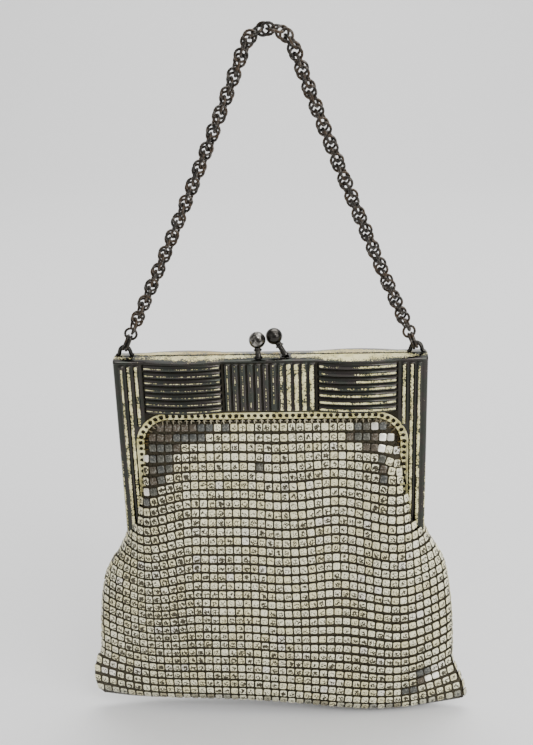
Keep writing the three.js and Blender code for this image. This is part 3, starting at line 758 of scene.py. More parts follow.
# %% One tile
TILE_WIDTH, TILE_HEIGHT = 2.68, 2.95
TILE_CORNER, TILE_CORNER_STEPS = 0.5, 2
# Size of each ring of points against the outline, its height above the cloth, and how near the edge it counts
TILE_RINGS = [(1.0, -0.1, 1.0), (1.0, 0.2, 1.0), (0.9, 0.36, 0.35), (0.5, 0.47, 0.0)]


def rounded_outline(width, height, corner, steps):
    outline = []
    for quarter, (side, top) in enumerate([(1, 1), (-1, 1), (-1, -1), (1, -1)]):
        for step in range(steps + 1):
            angle = math.radians(90 * (quarter + step / steps))
            outline.append((side * (width / 2 - corner) + corner * math.cos(angle),
                            top * (height / 2 - corner) + corner * math.sin(angle)))
    return outline


def ring_faces(rings, sides, capped=False):
    """Quads between rings of points, each counted the same way round, and the two ends where asked."""
    faces = []
    for first in range(0, (rings - 1) * sides, sides):
        for i in range(sides):
            j = (i + 1) % sides
            faces.append((first + i, first + j, first + sides + j, first + sides + i))
    if capped:
        faces.append(tuple(reversed(range(sides))))
        faces.append(tuple(range((rings - 1) * sides, rings * sides)))
    return faces


def tile_template():
    outline = rounded_outline(TILE_WIDTH, TILE_HEIGHT, TILE_CORNER, TILE_CORNER_STEPS)
    points = np.array([(x * scale, y * scale, lift) for scale, lift, edge in TILE_RINGS for x, y in outline])
    faces = ring_faces(len(TILE_RINGS), len(outline), capped=True)
    template = mesh_piece("tile_template", points, faces, zero=OWN_ORIGIN)
    write(template, "tile_edge", np.repeat([edge for scale, lift, edge in TILE_RINGS], len(outline)))
    write(template, "plate", points * (2 / TILE_WIDTH, 2 / TILE_HEIGHT, 0))
    return template


tile = tile_template()
print("one tile:", len(tile.data.polygons), "faces")


# %% Tree that lays a shape on every place
def laying_tree():
    nodes, given = start_tree("lay_on_cloth", {
        "Shape": "object", "Lean": float, "Seed": int, "Finish": "material"})
    turn_number, size = (nodes("GeometryNodeInputNamedAttribute", {"Name": name}, data_type="FLOAT_VECTOR")
                         for name in ("turn", "size"))
    laid = nodes("GeometryNodeInstanceOnPoints", {
        "Points": given["Geometry"],
        "Instance": nodes("GeometryNodeObjectInfo", {"Object": given["Shape"]}, "Geometry"),
        "Rotation": nodes("FunctionNodeEulerToRotation", {0: turn_number}),
        "Scale": size,
    })
    least = nodes.calc("MULTIPLY", given["Lean"], -1.0)
    limits = {"Min": least, "Max": given["Lean"], "Seed": given["Seed"]}
    chance = nodes("FunctionNodeRandomValue", limits, data_type="FLOAT_VECTOR")
    leaned = nodes("GeometryNodeRotateInstances", {"Instances": laid, "Rotation": chance})
    return end_tree(nodes, leaned, given["Finish"])


lay = laying_tree()


def lay_shapes(name, shape, grid, lift, lean, seed, finish, sizes=None, **numbers):
    """Lays a shape on every row of a grid, which starts with a place and three directions."""
    host = mesh_piece(f"{name}_places", grid[:, :3] + grid[:, 9:12] * lift)
    write(host, "turn", [Matrix(row.reshape(3, 3)).transposed().to_euler() for row in grid[:, 3:12]])
    write(host, "size", np.ones((len(grid), 3)) if sizes is None else sizes)
    for label, values in numbers.items():
        write(host, label, values)
    values = {"Shape": shape, "Lean": math.radians(lean), "Seed": seed, "Finish": finish.material}
    return run_tree(lay, host, name, values)


# %% [markdown]
# ## Ivory enamel on the tiles
# Enamel is smooth and a little glossy. Each tile has its own tone, from yellowish ivory to a cool white, and
# the enamel breaks off in short curled strokes with hard edges. A noise is high in some places and low in
# others, and the lines where it passes its middle value curl in just that way. Each tile's own number makes
# those lines wider, and the distance from the middle of the plate makes them narrower, so the rim of a tile
# stays clean. Bare plate is dark metal with a tint, or bright where it was rubbed, and the same dark plate is
# the painted shade on the base row. A few rubbed tiles glow with a little light of their own: a painted
# glint.

# %% Tile enamel
IVORY = (0.86, 0.795, 0.48, 1)
PALE_IVORY = (0.95, 0.91, 0.65, 1)
COOL_WHITE = (0.94, 0.9, 0.76, 1)
SPECK_AND_SHADE = (0.066, 0.059, 0.04, 1)
BARE_BROWN = (0.105, 0.086, 0.064, 1)
BARE_OLIVE = (0.11, 0.11, 0.092, 1)
BARE_GREY = (0.105, 0.108, 0.1, 1)
MOTTLE = (0.34, 0.33, 0.28, 1)
# Bright rubbed steel, which also colours the painted glint, and the strength of that glint
BRIGHT_STEEL_AND_GLINT = (1.0, 0.97, 0.84, 1)
PAINTED_GLINT = 0.42
STROKE_SIZE = 1.1
STROKE_WIDTH = 0.15
STROKE_EDGE = 0.02
STROKE_MIDDLE = (0.1, -0.12, 0)
tiles = Finish("ivory_tile_enamel")
tone, bare_and_base_shade, bright = (tiles.painted(name) for name in ("tone", "bare_and_base_shade", "bright"))
fine = tiles.grain(0.62, 2.0)
from_middle = tiles("ShaderNodeVectorMath", {0: tiles.painted("plate", "Vector"), 1: STROKE_MIDDLE}, "Value",
                    operation="DISTANCE")
from_line = tiles.calc("ABSOLUTE", tiles.calc("SUBTRACT", tiles.grain(STROKE_SIZE, 1.5, 0.3), 0.5), 0.0)
line_width = tiles.calc("MULTIPLY", tiles.painted("specks_and_side_shade"), STROKE_WIDTH)
line_width = tiles.calc("MULTIPLY", line_width, tiles.ramp(from_middle, 1.2, 0.5))
# Speck strokes, which in the broad left patch are partly painted shade
specked_and_side_shade = tiles.ramp(from_line, line_width, tiles.calc("SUBTRACT", line_width, STROKE_EDGE))
edge_dark = tiles.calc("MULTIPLY", tiles.ramp(tiles.painted("tile_edge"), 0.75, 1.0), 0.8)
chipped_and_side_shade = tiles.calc("MAXIMUM", specked_and_side_shade, edge_dark)
# Bare plate here also carries the painted shade of the base row
gone_and_painted_shade = tiles.calc("MAXIMUM", chipped_and_side_shade, bare_and_base_shade)
ivory = tiles.mix(tiles.ramp(tone, 0.0, 0.75), IVORY, PALE_IVORY)
ivory = tiles.mix(tiles.ramp(tone, 0.93, 0.985), ivory, COOL_WHITE)
plate_metal = tiles.mix(tiles.ramp(tone, 0.2, 0.4), BARE_BROWN, BARE_OLIVE)
plate_metal = tiles.mix(tiles.ramp(tone, 0.5, 0.7), plate_metal, BARE_GREY)
plate_metal = tiles.mix(tiles.calc("MULTIPLY", tiles.ramp(fine, 0.52, 0.66), 0.6), plate_metal, MOTTLE)
# The bare plate colour is also the painted shade on the base row
worn_and_painted_shade = tiles.mix(bare_and_base_shade, tiles.mix(chipped_and_side_shade, ivory, SPECK_AND_SHADE), plate_metal)
tiles.shade({
    "Base Color": tiles.mix(bright, worn_and_painted_shade, BRIGHT_STEEL_AND_GLINT),
    # Bright rubbed tiles glow a little: a painted glint, not a lamp
    "Emission Color": BRIGHT_STEEL_AND_GLINT,
    "Emission Strength": tiles.calc("MULTIPLY", bright, PAINTED_GLINT),
    "Metallic": tiles.calc("MAXIMUM", tiles.calc("MULTIPLY", gone_and_painted_shade, 0.8), bright),
    "Roughness": tiles.ramp(tiles.calc("MULTIPLY_ADD", gone_and_painted_shade, 0.5, fine), -0.6, 3.6),
    "Normal": tiles.bump(fine, 0.25, 0.12),
})

# %% Lay the tiles
TILE_LIFT = 0.05
TILE_LEAN = 2.2
TILE_SHARP = math.radians(48)
TILE_GROWTH = (0.06, 0.03, 0)
tile_pieces = []
for label, grid in tile_rows.items():
    rubbed = (BARE_RUNS, BRIGHT_TILES) if label == "front" else ([], [])
    # Wear of each tile, with the painted shade on the base row and the painted glint of the bright tiles
    wear = tile_wear_and_painted_light(grid, WEAR_SEED + FACES[label], *rubbed)
    sizes = 1 + np.outer(share_down(grid[:, 2]), TILE_GROWTH)
    piece = lay_shapes(f"tiles_{label}", tile, grid, TILE_LIFT, TILE_LEAN, WEAR_SEED, tiles, sizes, **wear)
    piece.data.set_sharp_from_angle(angle=TILE_SHARP)
    tile_pieces.append(piece)
bpy.data.objects.remove(tile)

# %% [markdown]
# ## Rings between the tiles
# Every four tiles meet over one ring, whose wire glints in the gap. The same tree lays a small ring on each
# of those joints, just behind the plates.

# %% Rings of the cloth
RING_RADIUS, RING_WIRE = 1.05, 0.24
RING_SIDES, RING_WIRE_SIDES = 8, 4
RING_MARGIN, RING_LIFT, RING_LEAN, RING_SEED = 1.2, -0.2, 14, 3


def ring_template():
    points = []
    faces = []
    for i in range(RING_SIDES):
        angle = 2 * math.pi * i / RING_SIDES
        here, there = i * RING_WIRE_SIDES, (i + 1) % RING_SIDES * RING_WIRE_SIDES
        for j in range(RING_WIRE_SIDES):
            tilt = 2 * math.pi * j / RING_WIRE_SIDES
            reach = RING_RADIUS + RING_WIRE * math.cos(tilt)
            points.append((reach * math.cos(angle), reach * math.sin(angle), RING_WIRE * math.sin(tilt)))
            k = (j + 1) % RING_WIRE_SIDES
            faces.append((here + j, there + j, there + k, here + k))
    return mesh_piece("ring_template", points, faces, zero=OWN_ORIGIN)


ring = ring_template()
for label, face in FACES.items():
    grid = showing(tile_grid(face, 0.5, 0.5), RING_MARGIN)
    piece = lay_shapes(f"cloth_rings_{label}", ring, grid, RING_LIFT, RING_LEAN, RING_SEED, ring_steel)
    piece.data.shade_smooth()
    tile_pieces.append(piece)
bpy.data.objects.remove(ring)

# %% Join the bag to the frame of solids
hand_over(ring_cloth, "mesh_bag")
for piece in tile_pieces:
    hand_over(piece)

# %% [markdown]
# ## The way of the chain
# The chain runs up from each end link and bends once, where it is held. Its way is two lines and one arc,
# worked out from the places of the end links, the corner where the lines would meet and the radius of the
# bend, as in the solids. Its own weight makes both lines hang a little inwards.

# %% Way of the chain
CHAIN_APEX = np.array([3.6, 132.1])
LINK_PLACES = {"left": np.array([-54.35, 5.75]), "right": np.array([54.15, 5.1])}
PULLS = {side: unit(CHAIN_APEX - place) for side, place in LINK_PLACES.items()}
BEND_RADIUS, BEND_STEPS = 9, 40
RING_START = 3.95
CHAIN_BOW, BOW_STEPS = 1.0, 12


def bowed_line(side, bend_end):
    """One side of the chain, from its end link to the bend, hanging a little inwards."""
    start = LINK_PLACES[side] + PULLS[side] * RING_START
    inward = np.array([PULLS[side][1], -PULLS[side][0]]) * (1 if side == "left" else -1)
    parts = np.arange(BOW_STEPS) / BOW_STEPS
    return [start + (bend_end - start) * part + inward * CHAIN_BOW * 4 * part * (1 - part) for part in parts]


def chain_way():
    half_angle = math.acos(float(PULLS["left"] @ PULLS["right"])) / 2
    centre = CHAIN_APEX - unit(PULLS["left"] + PULLS["right"]) * BEND_RADIUS / math.sin(half_angle)
    ends = [CHAIN_APEX - pull * BEND_RADIUS / math.tan(half_angle) for pull in PULLS.values()]
    first, last = (math.atan2(end[1] - centre[1], end[0] - centre[0]) for end in ends)
    way = bowed_line("left", ends[0])
    for angle in np.linspace(first, last, BEND_STEPS + 1):
        way.append(centre + BEND_RADIUS * np.array([math.cos(angle), math.sin(angle)]))
    way.extend(bowed_line("right", ends[1])[::-1])
    return [(x, CHAIN_PLANE, z) for x, z in way]


def line_host(name, ways, closed=False):
    """A host made of lines only, one for each way, for trees that follow a path."""
    points = []
    edges = []
    for way in ways:
        first = len(points)
        points.extend(way)
        edges.extend((first + i, first + i + 1) for i in range(len(way) - 1))
        if closed:
            edges.append((len(points) - 1, first))
    return mesh_piece(name, points, edges=edges)


way = chain_way()
chain_length = float(way_along(way)[-1])
print("chain", round(chain_length, 1), "mm from first ring to last")

# %% [markdown]
# ## Chain of doubled rings
# The links are round rings in pairs. Each pair passes through the next at a right angle, so the pairs are
# seen in turn from the front, as open rings, and from the edge, as short double bars. The two rings of a
# pair are staggered and splayed, as they slip under load. One ring alone joins the chain to each end link.
# The tree makes one ring from a circle swept along a circle, doubles it, and puts it on evenly spaced points
# of the way with every second pair turned.

# %% Brown steel
STEEL_DARK = (0.035, 0.032, 0.028, 1)
STEEL_RUST = (0.07, 0.05, 0.034, 1)
STEEL_WORN = (0.17, 0.155, 0.14, 1)
brown_steel = Finish("brown_steel", Metallic=0.9)
spot = brown_steel.grain(0.8, 2.0, 0.2)
rust = brown_steel.mix(brown_steel.ramp(brown_steel.grain(3.0, 3.0), 0.42, 0.62), STEEL_DARK, STEEL_RUST)
brown_steel.shade({"Base Color": brown_steel.mix(brown_steel.ramp(spot, 0.5, 0.72), rust, STEEL_WORN),
                   "Roughness": brown_steel.ramp(spot, -0.3, 1.6)})

# %% Chain tree
CHAIN_RING, CHAIN_WIRE = 2.2, 0.5
CHAIN_RING_SIDES, CHAIN_WIRE_SIDES = 16, 7
PAIR_PITCH = 3.45
PAIR_STAGGER = 0.85
PAIR_SPLAY = math.radians(15)
PAIR_ROOM = 1.04
CHAIN_ROLL = math.radians(10)
CHAIN_SEED = 5
QUARTER_TURN = math.pi / 2


def swept(nodes, path, sides, radius, capped=False):
    """A round wire along a path."""
    circle = nodes("GeometryNodeCurvePrimitiveCircle", {"Resolution": sides, "Radius": radius})
    return nodes("GeometryNodeCurveToMesh", {"Curve": path, "Profile Curve": circle, "Fill Caps": capped})


def chain_tree():
    nodes, given = start_tree("doubled_ring_chain", {
        "Ring radius": float, "Wire radius": float, "Stagger": float, "Splay": float, "Places": int,
        "Roll": float, "Seed": int, "Finish": "material"})
    path = nodes("GeometryNodeMeshToCurve", {"Mesh": given["Geometry"]})
    places = nodes("GeometryNodeResampleCurve", {"Curve": path, "Count": given["Places"]})
    circle = nodes("GeometryNodeCurvePrimitiveCircle", {
        "Resolution": CHAIN_RING_SIDES, "Radius": given["Ring radius"]})
    single = swept(nodes, circle, CHAIN_WIRE_SIDES, given["Wire radius"])
    rings = []
    for side in (-PAIR_ROOM, PAIR_ROOM):
        apart, slip, tilt = (nodes.calc("MULTIPLY", given[label], side)
                             for label in ("Wire radius", "Stagger", "Splay"))
        rings.append(nodes("GeometryNodeTransform", {
            "Geometry": single, "Translation": nodes.xyz(X=slip, Z=apart), "Rotation": nodes.xyz(X=tilt)}))
    pair = nodes("GeometryNodeJoinGeometry", {0: rings})
    tangent = nodes("GeometryNodeInputTangent")
    aligned = nodes("FunctionNodeAlignRotationToVector", {"Vector": tangent}, axis="X")
    odd = nodes.calc("MODULO", nodes("GeometryNodeInputIndex"), 2.0)
    quarter = nodes.calc("MULTIPLY_ADD", odd, -QUARTER_TURN, QUARTER_TURN)
    limits = {2: nodes.calc("MULTIPLY", given["Roll"], -1.0), 3: given["Roll"], "Seed": given["Seed"]}
    chance = nodes("FunctionNodeRandomValue", limits, 1, data_type="FLOAT")
    rolled = nodes.calc("ADD", quarter, chance)
    about = nodes("FunctionNodeAxisAngleToRotation", {"Axis": (1, 0, 0), "Angle": rolled})
    turned = nodes("FunctionNodeRotateRotation", {"Rotation": aligned, "Rotate By": about},
                   rotation_space="LOCAL")
    ends = nodes("GeometryNodeCurveEndpointSelection", {"Start Size": 1, "End Size": 1})
    others = nodes("FunctionNodeBooleanMath", {0: ends}, operation="NOT")
    laid = [nodes("GeometryNodeInstanceOnPoints", {
        "Points": places, "Selection": chosen, "Instance": shape, "Rotation": turned})
        for chosen, shape in ((ends, single), (others, pair))]
    return end_tree(nodes, nodes("GeometryNodeJoinGeometry", {0: laid}), given["Finish"])


pair_steps = 2 * round(chain_length / PAIR_PITCH / 2)
chain = run_tree(chain_tree(), line_host("chain_way", [way]), "chain_rings", {
    "Ring radius": CHAIN_RING * MM, "Wire radius": CHAIN_WIRE * MM, "Stagger": PAIR_STAGGER * MM,
    "Splay": PAIR_SPLAY, "Places": pair_steps + 1, "Roll": CHAIN_ROLL, "Seed": CHAIN_SEED,
    "Finish": brown_steel.material})
clean(chain, FINE_WELD)
chain.data.shade_smooth()
hand_over(chain, "chain")

# %% [markdown]
# ## Bent wire: end links and ears
# The end links are long loops of two wires side by side, and the ears are short arches of thicker wire whose
# feet spread on the roof. Both are one profile swept along a path, so one small tree serves them all.

# %% Wire tree
def wire_tree():
    nodes, given = start_tree("bent_wire", {"Wire radius": float, "Sides": int, "Finish": "material"})
    path = nodes("GeometryNodeMeshToCurve", {"Mesh": given["Geometry"]})
    wire = swept(nodes, path, given["Sides"], given["Wire radius"], capped=True)
    return end_tree(nodes, wire, given["Finish"])


bent_wire = wire_tree()


def bend_wire(name, ways, radius, sides, finish, closed=False):
    """A round wire along each of some ways."""
    values = {"Wire radius": radius * MM, "Sides": sides, "Finish": finish.material}
    wire = run_tree(bent_wire, line_host(f"{name}_way", ways, closed), name, values)
    clean(wire, FINE_WELD)
    return wire


def smooth_way(corners, steps):
    """A smooth curve through a few points, with this many steps between two of them."""
    corners = np.array(corners)
    corners = np.array([2 * corners[0] - corners[1], *corners, 2 * corners[-1] - corners[-2]])
    way = []
    for i in range(1, len(corners) - 2):
        p, q, r, s = corners[i - 1:i + 3]
        for t in np.arange(steps) / steps:
            way.append(0.5 * (2 * q + (r - p) * t + (2 * p - 5 * q + 4 * r - s) * t * t
                              + (3 * q - p - 3 * r + s) * t ** 3))
    way.append(corners[-2])
    return way


# %% End links
LINK_HALF_LENGTH, LINK_HALF_WIDTH = 2.9, 1.5
LINK_WIRE, LINK_WIRE_SIDES, LINK_ROOM = 0.58, 9, 1.02
LINK_BEND_STEPS = 10


def link_loop(side, apart):
    """A long loop in the plane across the ear, moved aside by half the distance of the two wires."""
    along = np.array([PULLS[side][0], 0, PULLS[side][1]])
    across = np.array([along[2], 0, -along[0]])
    middle = np.array([LINK_PLACES[side][0], CHAIN_PLANE, LINK_PLACES[side][1]]) + across * apart
    straight = LINK_HALF_LENGTH - LINK_HALF_WIDTH
    loop = []
    for end in (1, -1):
        for step in range(LINK_BEND_STEPS + 1):
            angle = math.pi * step / LINK_BEND_STEPS
            ahead_by = end * (straight + LINK_HALF_WIDTH * math.sin(angle))
            loop.append(middle + along * ahead_by + (0, end * LINK_HALF_WIDTH * math.cos(angle), 0))
    return loop


for side in LINK_PLACES:
    loops = [link_loop(side, apart * LINK_WIRE * LINK_ROOM) for apart in (-1, 1)]
    link = bend_wire(f"end_link_wires_{side}", loops, LINK_WIRE, LINK_WIRE_SIDES, brown_steel, closed=True)
    link.data.shade_smooth()
    hand_over(link, f"end_link_{side}")

# %% [markdown]
# ## Dark steel
# Knobs, ears and hinge pins are plated steel that has gone dark, still shiny where it is handled. Low
# roughness with a cloudy stain gives the soft, patchy highlights of old plating.

# %% Dark steel and ears
PLATE_DARK = (0.036, 0.034, 0.031, 1)
PLATE_CLOUD = (0.1, 0.094, 0.084, 1)
dark_steel = Finish("dark_plated_steel", Metallic=1.0)
cloud = dark_steel.grain(2.6, 4.0)
dark_steel.shade({"Base Color": dark_steel.mix(dark_steel.ramp(cloud, 0.45, 0.7), PLATE_DARK, PLATE_CLOUD),
                  "Roughness": dark_steel.ramp(cloud, 0.05, 2.0)})

EAR_PLACE = 55.5
EAR_WIRE, EAR_WIRE_SIDES, EAR_STEPS = 0.8, 12, 4
EAR_ARCH = [(-3.4, 0.7), (-2.75, 0.9), (-2.25, 1.6), (-1.95, 2.7), (-1.35, 3.8), (0, 4.4)]
WIRE_SHARP = math.radians(50)
for side, label in ((-1, "left"), (1, "right")):
    arch = EAR_ARCH + [(-x, z) for x, z in EAR_ARCH[-2::-1]]
    ear_way = [(side * EAR_PLACE + x, CHAIN_PLANE, z) for x, z in smooth_way(arch, EAR_STEPS)]
    ear = bend_wire(f"ear_arch_{label}", [ear_way], EAR_WIRE, EAR_WIRE_SIDES, dark_steel)
    ear.data.set_sharp_from_angle(angle=WIRE_SHARP)
    hand_over(ear, f"chain_ear_{label}")
for node in ("hinge_pin_left", "hinge_pin_right"):
    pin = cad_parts[node]
    pin.data.materials.clear()
    pin.data.materials.append(dark_steel.material)

# %% [markdown]
# ## Ball knobs of the lock
# The two balls snap past each other to hold the purse shut. Each is turned on a lathe together with its
# stem and collar, so a profile of radii along the stem is spun round an axis from its foot to the ball. The
# front one is dented and rubbed brighter than the other.

# %% Turned knobs
BALL_RADIUS, BALL_STEPS = 3.2, 14
KNOB_SIDES = 32
KNOB_SHARP = math.radians(40)
# How far from the ball's middle its finish goes, against its radius
BALL_REACH = 1.05
# Share of the way from the foot to the ball's edge, and radius there
STEM_PROFILE = [(0.0, 0.0), (0.0, 1.6), (0.08, 1.6), (0.14, 1.3), (0.2, 1.1), (0.74, 1.0), (0.76, 1.45),
                (0.8, 1.6), (0.86, 1.6), (0.9, 1.3), (0.95, 1.2)]
# Middle of the foot and middle of the ball
KNOBS = {"front": ((-4.1, -2.9, 0.5), (-4.3, -3.0, 7.5)), "back": ((6.2, -2.1, 0.85), (1.9, 0.5, 7.8))}
RUB_DARK = (0.05, 0.047, 0.042, 1)
RUB_BRIGHT = (0.3, 0.285, 0.26, 1)
rubbed_steel = Finish("rubbed_plated_steel", Metallic=1.0)
dent = rubbed_steel.grain(1.7, 2.0, 0.4)
rubbed_steel.shade({"Base Color": rubbed_steel.mix(rubbed_steel.ramp(dent, 0.44, 0.6), RUB_DARK, RUB_BRIGHT),
                    "Roughness": rubbed_steel.ramp(dent, 0.0, 2.0),
                    "Normal": rubbed_steel.bump(dent, 0.5, 0.3)})


def turned_knob(foot, ball):
    foot, ball = np.array(foot), np.array(ball)
    axis = unit(ball - foot)
    beside = unit(np.cross(axis, (0, 1, 0)))
    other = np.cross(axis, beside)
    stem = np.linalg.norm(ball - foot) - BALL_RADIUS
    outline = [(share * stem, radius) for share, radius in STEM_PROFILE]
    start = math.asin(STEM_PROFILE[-1][1] / BALL_RADIUS)
    for angle in np.linspace(start, math.pi, BALL_STEPS + 1):
        outline.append((stem + BALL_RADIUS - BALL_RADIUS * math.cos(angle), BALL_RADIUS * math.sin(angle)))
    points = []
    for height, radius in outline:
        for i in range(KNOB_SIDES):
            angle = 2 * math.pi * i / KNOB_SIDES
            outwards = math.cos(angle) * beside + math.sin(angle) * other
            points.append(foot + axis * height + radius * outwards)
    return points, ring_faces(len(outline), KNOB_SIDES)


for label, (foot, ball) in KNOBS.items():
    knob = mesh_piece(f"ball_knob_{label}", *turned_knob(foot, ball))
    clean(knob)
    for finish in (dark_steel, rubbed_steel if label == "front" else dark_steel):
        knob.data.materials.append(finish.material)
    for face in knob.data.polygons:
        from_ball = (face.center - Vector(metres(ball))).length
        face.material_index = int(from_ball < BALL_REACH * BALL_RADIUS * MM)
    knob.data.set_sharp_from_angle(angle=KNOB_SHARP)
    hand_over(knob, f"clasp_knob_{label}")
    print(knob.name, len(knob.data.polygons), "faces")

# %% [markdown]
# ## Relief of the frame
# Each half of the frame is stamped from one sheet. Two pillowed panels of level ribs stand beside a panel of
# upright ribs, and three upright ribs run down each leg. A stamped sheet has a height at every point, so
# one rule gives the relief, and the sheet is a grid of points moved forward by it.

# %% Relief rule
FRAME_HALF_WIDTH = 59.6
HALF_DEPTH = 5.6
EDGE_RADIUS = 1.8
EDGE_START = FRAME_HALF_WIDTH - EDGE_RADIUS
RIB_RISE, RIB_ROUND = 0.85, 0.75
SIDE_INNER, SIDE_OUTER = 18, 48.4
SIDE_BOTTOM, SIDE_RIB_TOP, SIDE_RIBS, SIDE_FADE, PILLOW = -20.8, -0.6, 7, 1.0, 2.2
CENTRE_HALF, CENTRE_TOP, CENTRE_BOTTOM, CENTRE_RIBS, CENTRE_FADE = 17.4, -0.6, -20.6, 12, 0.8
LEG_RIB_HALF, LEG_RIB_TOP, LEG_FADE = 1.05, -0.8, 1.2
# Place beside the middle and lower end of each rib on a leg
LEG_RIBS = [(50.6, -27), (53.5, -71), (56.2, -71)]
PILLOW_STEP_LOW, PILLOW_STEP_HIGH = SIDE_BOTTOM - 0.45, SIDE_BOTTOM + 0.1


def between(value, low, high, fade):
    """One between two limits, fading out over a short length at both."""
    return smooth(value, low, low + fade) * (1 - smooth(value, high - fade, high))


def rib_wave(value, low, high, ribs):
    """Round ribs side by side between two limits, each one from zero to one and back."""
    return np.abs(np.sin(math.pi * ribs * (value - low) / (high - low))) ** RIB_ROUND


def pillow(x):
    part = np.clip((np.abs(x) - SIDE_INNER) / (SIDE_OUTER - SIDE_INNER), 0, 1)
    return PILLOW * 4 * part * (1 - part)


def relief(x, z):
    """Height of the sheet and height of its ribs from zero to one, at points of the front."""
    beside = np.abs(x)
    on_side = between(beside, SIDE_INNER, SIDE_OUTER, SIDE_FADE) * (z < SIDE_RIB_TOP) * (z > SIDE_BOTTOM)
    on_centre = between(z, CENTRE_BOTTOM, CENTRE_TOP, CENTRE_FADE) * (beside < CENTRE_HALF)
    ribs = np.maximum(rib_wave(z, SIDE_BOTTOM, SIDE_RIB_TOP, SIDE_RIBS) * on_side,
                      rib_wave(x, -CENTRE_HALF, CENTRE_HALF, CENTRE_RIBS) * on_centre)
    for middle, bottom in LEG_RIBS:
        near = np.clip(np.abs(beside - middle) / LEG_RIB_HALF, 0, 1)
        on_leg = between(z, bottom, LEG_RIB_TOP, LEG_FADE)
        ribs = np.maximum(ribs, np.cos(near * QUARTER_TURN) ** RIB_ROUND * on_leg)
    body = pillow(x) * smooth(z, PILLOW_STEP_LOW, PILLOW_STEP_HIGH)
    return body + RIB_RISE * ribs, ribs


print("relief stands", round(PILLOW + RIB_RISE, 2), "mm forward at most")

# %% [markdown]
# ## Enamel left on the frame
# The frame was ivory all over. Now the enamel is left mainly on the crests of the ribs and on the roof, and
# the grooves are black. The left panel has lost most of it, the right one a patch in its upper ribs. Low on
# the legs a pale line is left along the outer edge. A rule writes how much is left at each point, and the
# material breaks it up with noise.

# %% Rule for the enamel left on the front
GROOVE = -0.45
STEEP = -1.3
# Share of enamel on a panel's crests, and the parts of a rib's height where a crest starts and is full
LEFT_CREST = (0.41, 0.95, 0.992)
RIGHT_CREST = (0.58, 0.85, 0.97)
FADED_CREST = (0.37, 0.93, 0.992)
FRESH_CREST = (0.58, 0.5, 0.85)
LEG_CREST = (0.6, 0.5, 0.86)
# At the ends of the left panel's ribs more ivory is left, on a wider crest: partly enamel, partly a painted
# highlight where the ribs curve
RIB_END_START, RIB_END_FULL, RIB_END_ENAMEL_AND_HIGHLIGHT, RIB_END_WIDER = 3, 1.4, 0.4, 0.06
# Place across and height, half width and half height of the rubbed patch, and how much it has lost
RUBBED_PATCH, RUBBED_LESS = (27, -5, 6, 6), 0.45
# Where the centre panel turns from faded to fresh, and where its first rib on the left keeps more
FRESH_ACROSS, FIRST_RIB_ACROSS, FIRST_RIB_MORE = (-1, 6), (13.5, 14.5), 0.2
# The outer rib of a leg has a narrower crest towards the top, and a bare end
OUTER_RIB_ACROSS, OUTER_RIB_LESS = (54.8, 55.0), 0.5
NARROW_HEIGHTS, NARROW_LOW, NARROW_HIGH, BARE_END_HEIGHTS = (-30, -8), 0.3, 0.1, (-3, -2)
LEFT_EDGE_LINE, RIGHT_EDGE_LINE, EDGE_FADE = 0.9, 0.4, 0.3
EDGE_ENAMEL, EDGE_DEPTHS = 0.52, (26, 56)
EDGE_WALL = FRAME_HALF_WIDTH - 1.6
LEG_START = SIDE_OUTER + 0.6


def on_crest(crest, ribs, groove=GROOVE, more=0, lower=0, upper=0):
    """A share of enamel on the crest of a rib, and none at all in the groove beside it."""
    share, low, high = crest
    return groove + (share + more - groove) * smooth(ribs, low + lower, high + upper)


def enamel_left(x, z, ribs):
    """Above about a half the enamel is kept. Each panel has its own share, on a wide or narrow crest."""
    beside = np.abs(x)
    # Ends of the left panel's ribs, where the extra ivory is partly a painted highlight
    rib_end_enamel_and_highlight = np.maximum(smooth(beside, SIDE_OUTER - RIB_END_START, SIDE_OUTER - RIB_END_FULL),
                          smooth(-beside, -SIDE_INNER - RIB_END_START, -SIDE_INNER - RIB_END_FULL))
    left_panel = on_crest(LEFT_CREST, ribs, STEEP, RIB_END_ENAMEL_AND_HIGHLIGHT * rib_end_enamel_and_highlight, -RIB_END_WIDER * rib_end_enamel_and_highlight)
    right_panel = on_crest(RIGHT_CREST, ribs, more=-RUBBED_LESS * patch_at(x, z, *RUBBED_PATCH))
    fresh = smooth(x, *FRESH_ACROSS)
    faded = on_crest(FADED_CREST, ribs, STEEP, FIRST_RIB_MORE * smooth(-x, *FIRST_RIB_ACROSS))
    centre = faded * (1 - fresh) + on_crest(FRESH_CREST, ribs) * fresh
    left = np.where(beside < CENTRE_HALF, centre, np.where(x < 0, left_panel, right_panel))
    outer_rib = smooth(beside, *OUTER_RIB_ACROSS)
    narrowed = outer_rib * smooth(z, *NARROW_HEIGHTS)
    bare_end = outer_rib * smooth(z, *BARE_END_HEIGHTS)
    legs = on_crest(LEG_CREST, ribs, GROOVE, -OUTER_RIB_LESS * bare_end, NARROW_LOW * narrowed,
                    NARROW_HIGH * narrowed)
    left = np.where(beside > LEG_START, legs, left)
    line = FRAME_HALF_WIDTH - np.where(x < 0, LEFT_EDGE_LINE, RIGHT_EDGE_LINE)
    edge = EDGE_ENAMEL * smooth(-z, *EDGE_DEPTHS) * smooth(beside, line - EDGE_FADE, line)
    return np.where(beside > EDGE_WALL, edge, left)


# %% [markdown]
# ## The stamped sheet
# The grid has more lines where ribs need them. It wraps round both outer edges and back to the parting
# plane. Squares that fall in the mouth are dropped, and the points just inside are drawn to its edge, so the
# arch is a clean curve. Solidify then gives the sheet its thickness.

# %% Grid lines of the sheet
PARTING_GAP = 0.15
MOUTH_EDGE = -1.15
RIB_LINES = 13
EDGE_STEPS = 6
EDGE_POLISH, GROOVE_POLISH = 0.6, 0.5
EDGE_SHINE_START, EDGE_SHINE_FULL, HANDLED_START = 2.2, 1.4, 2
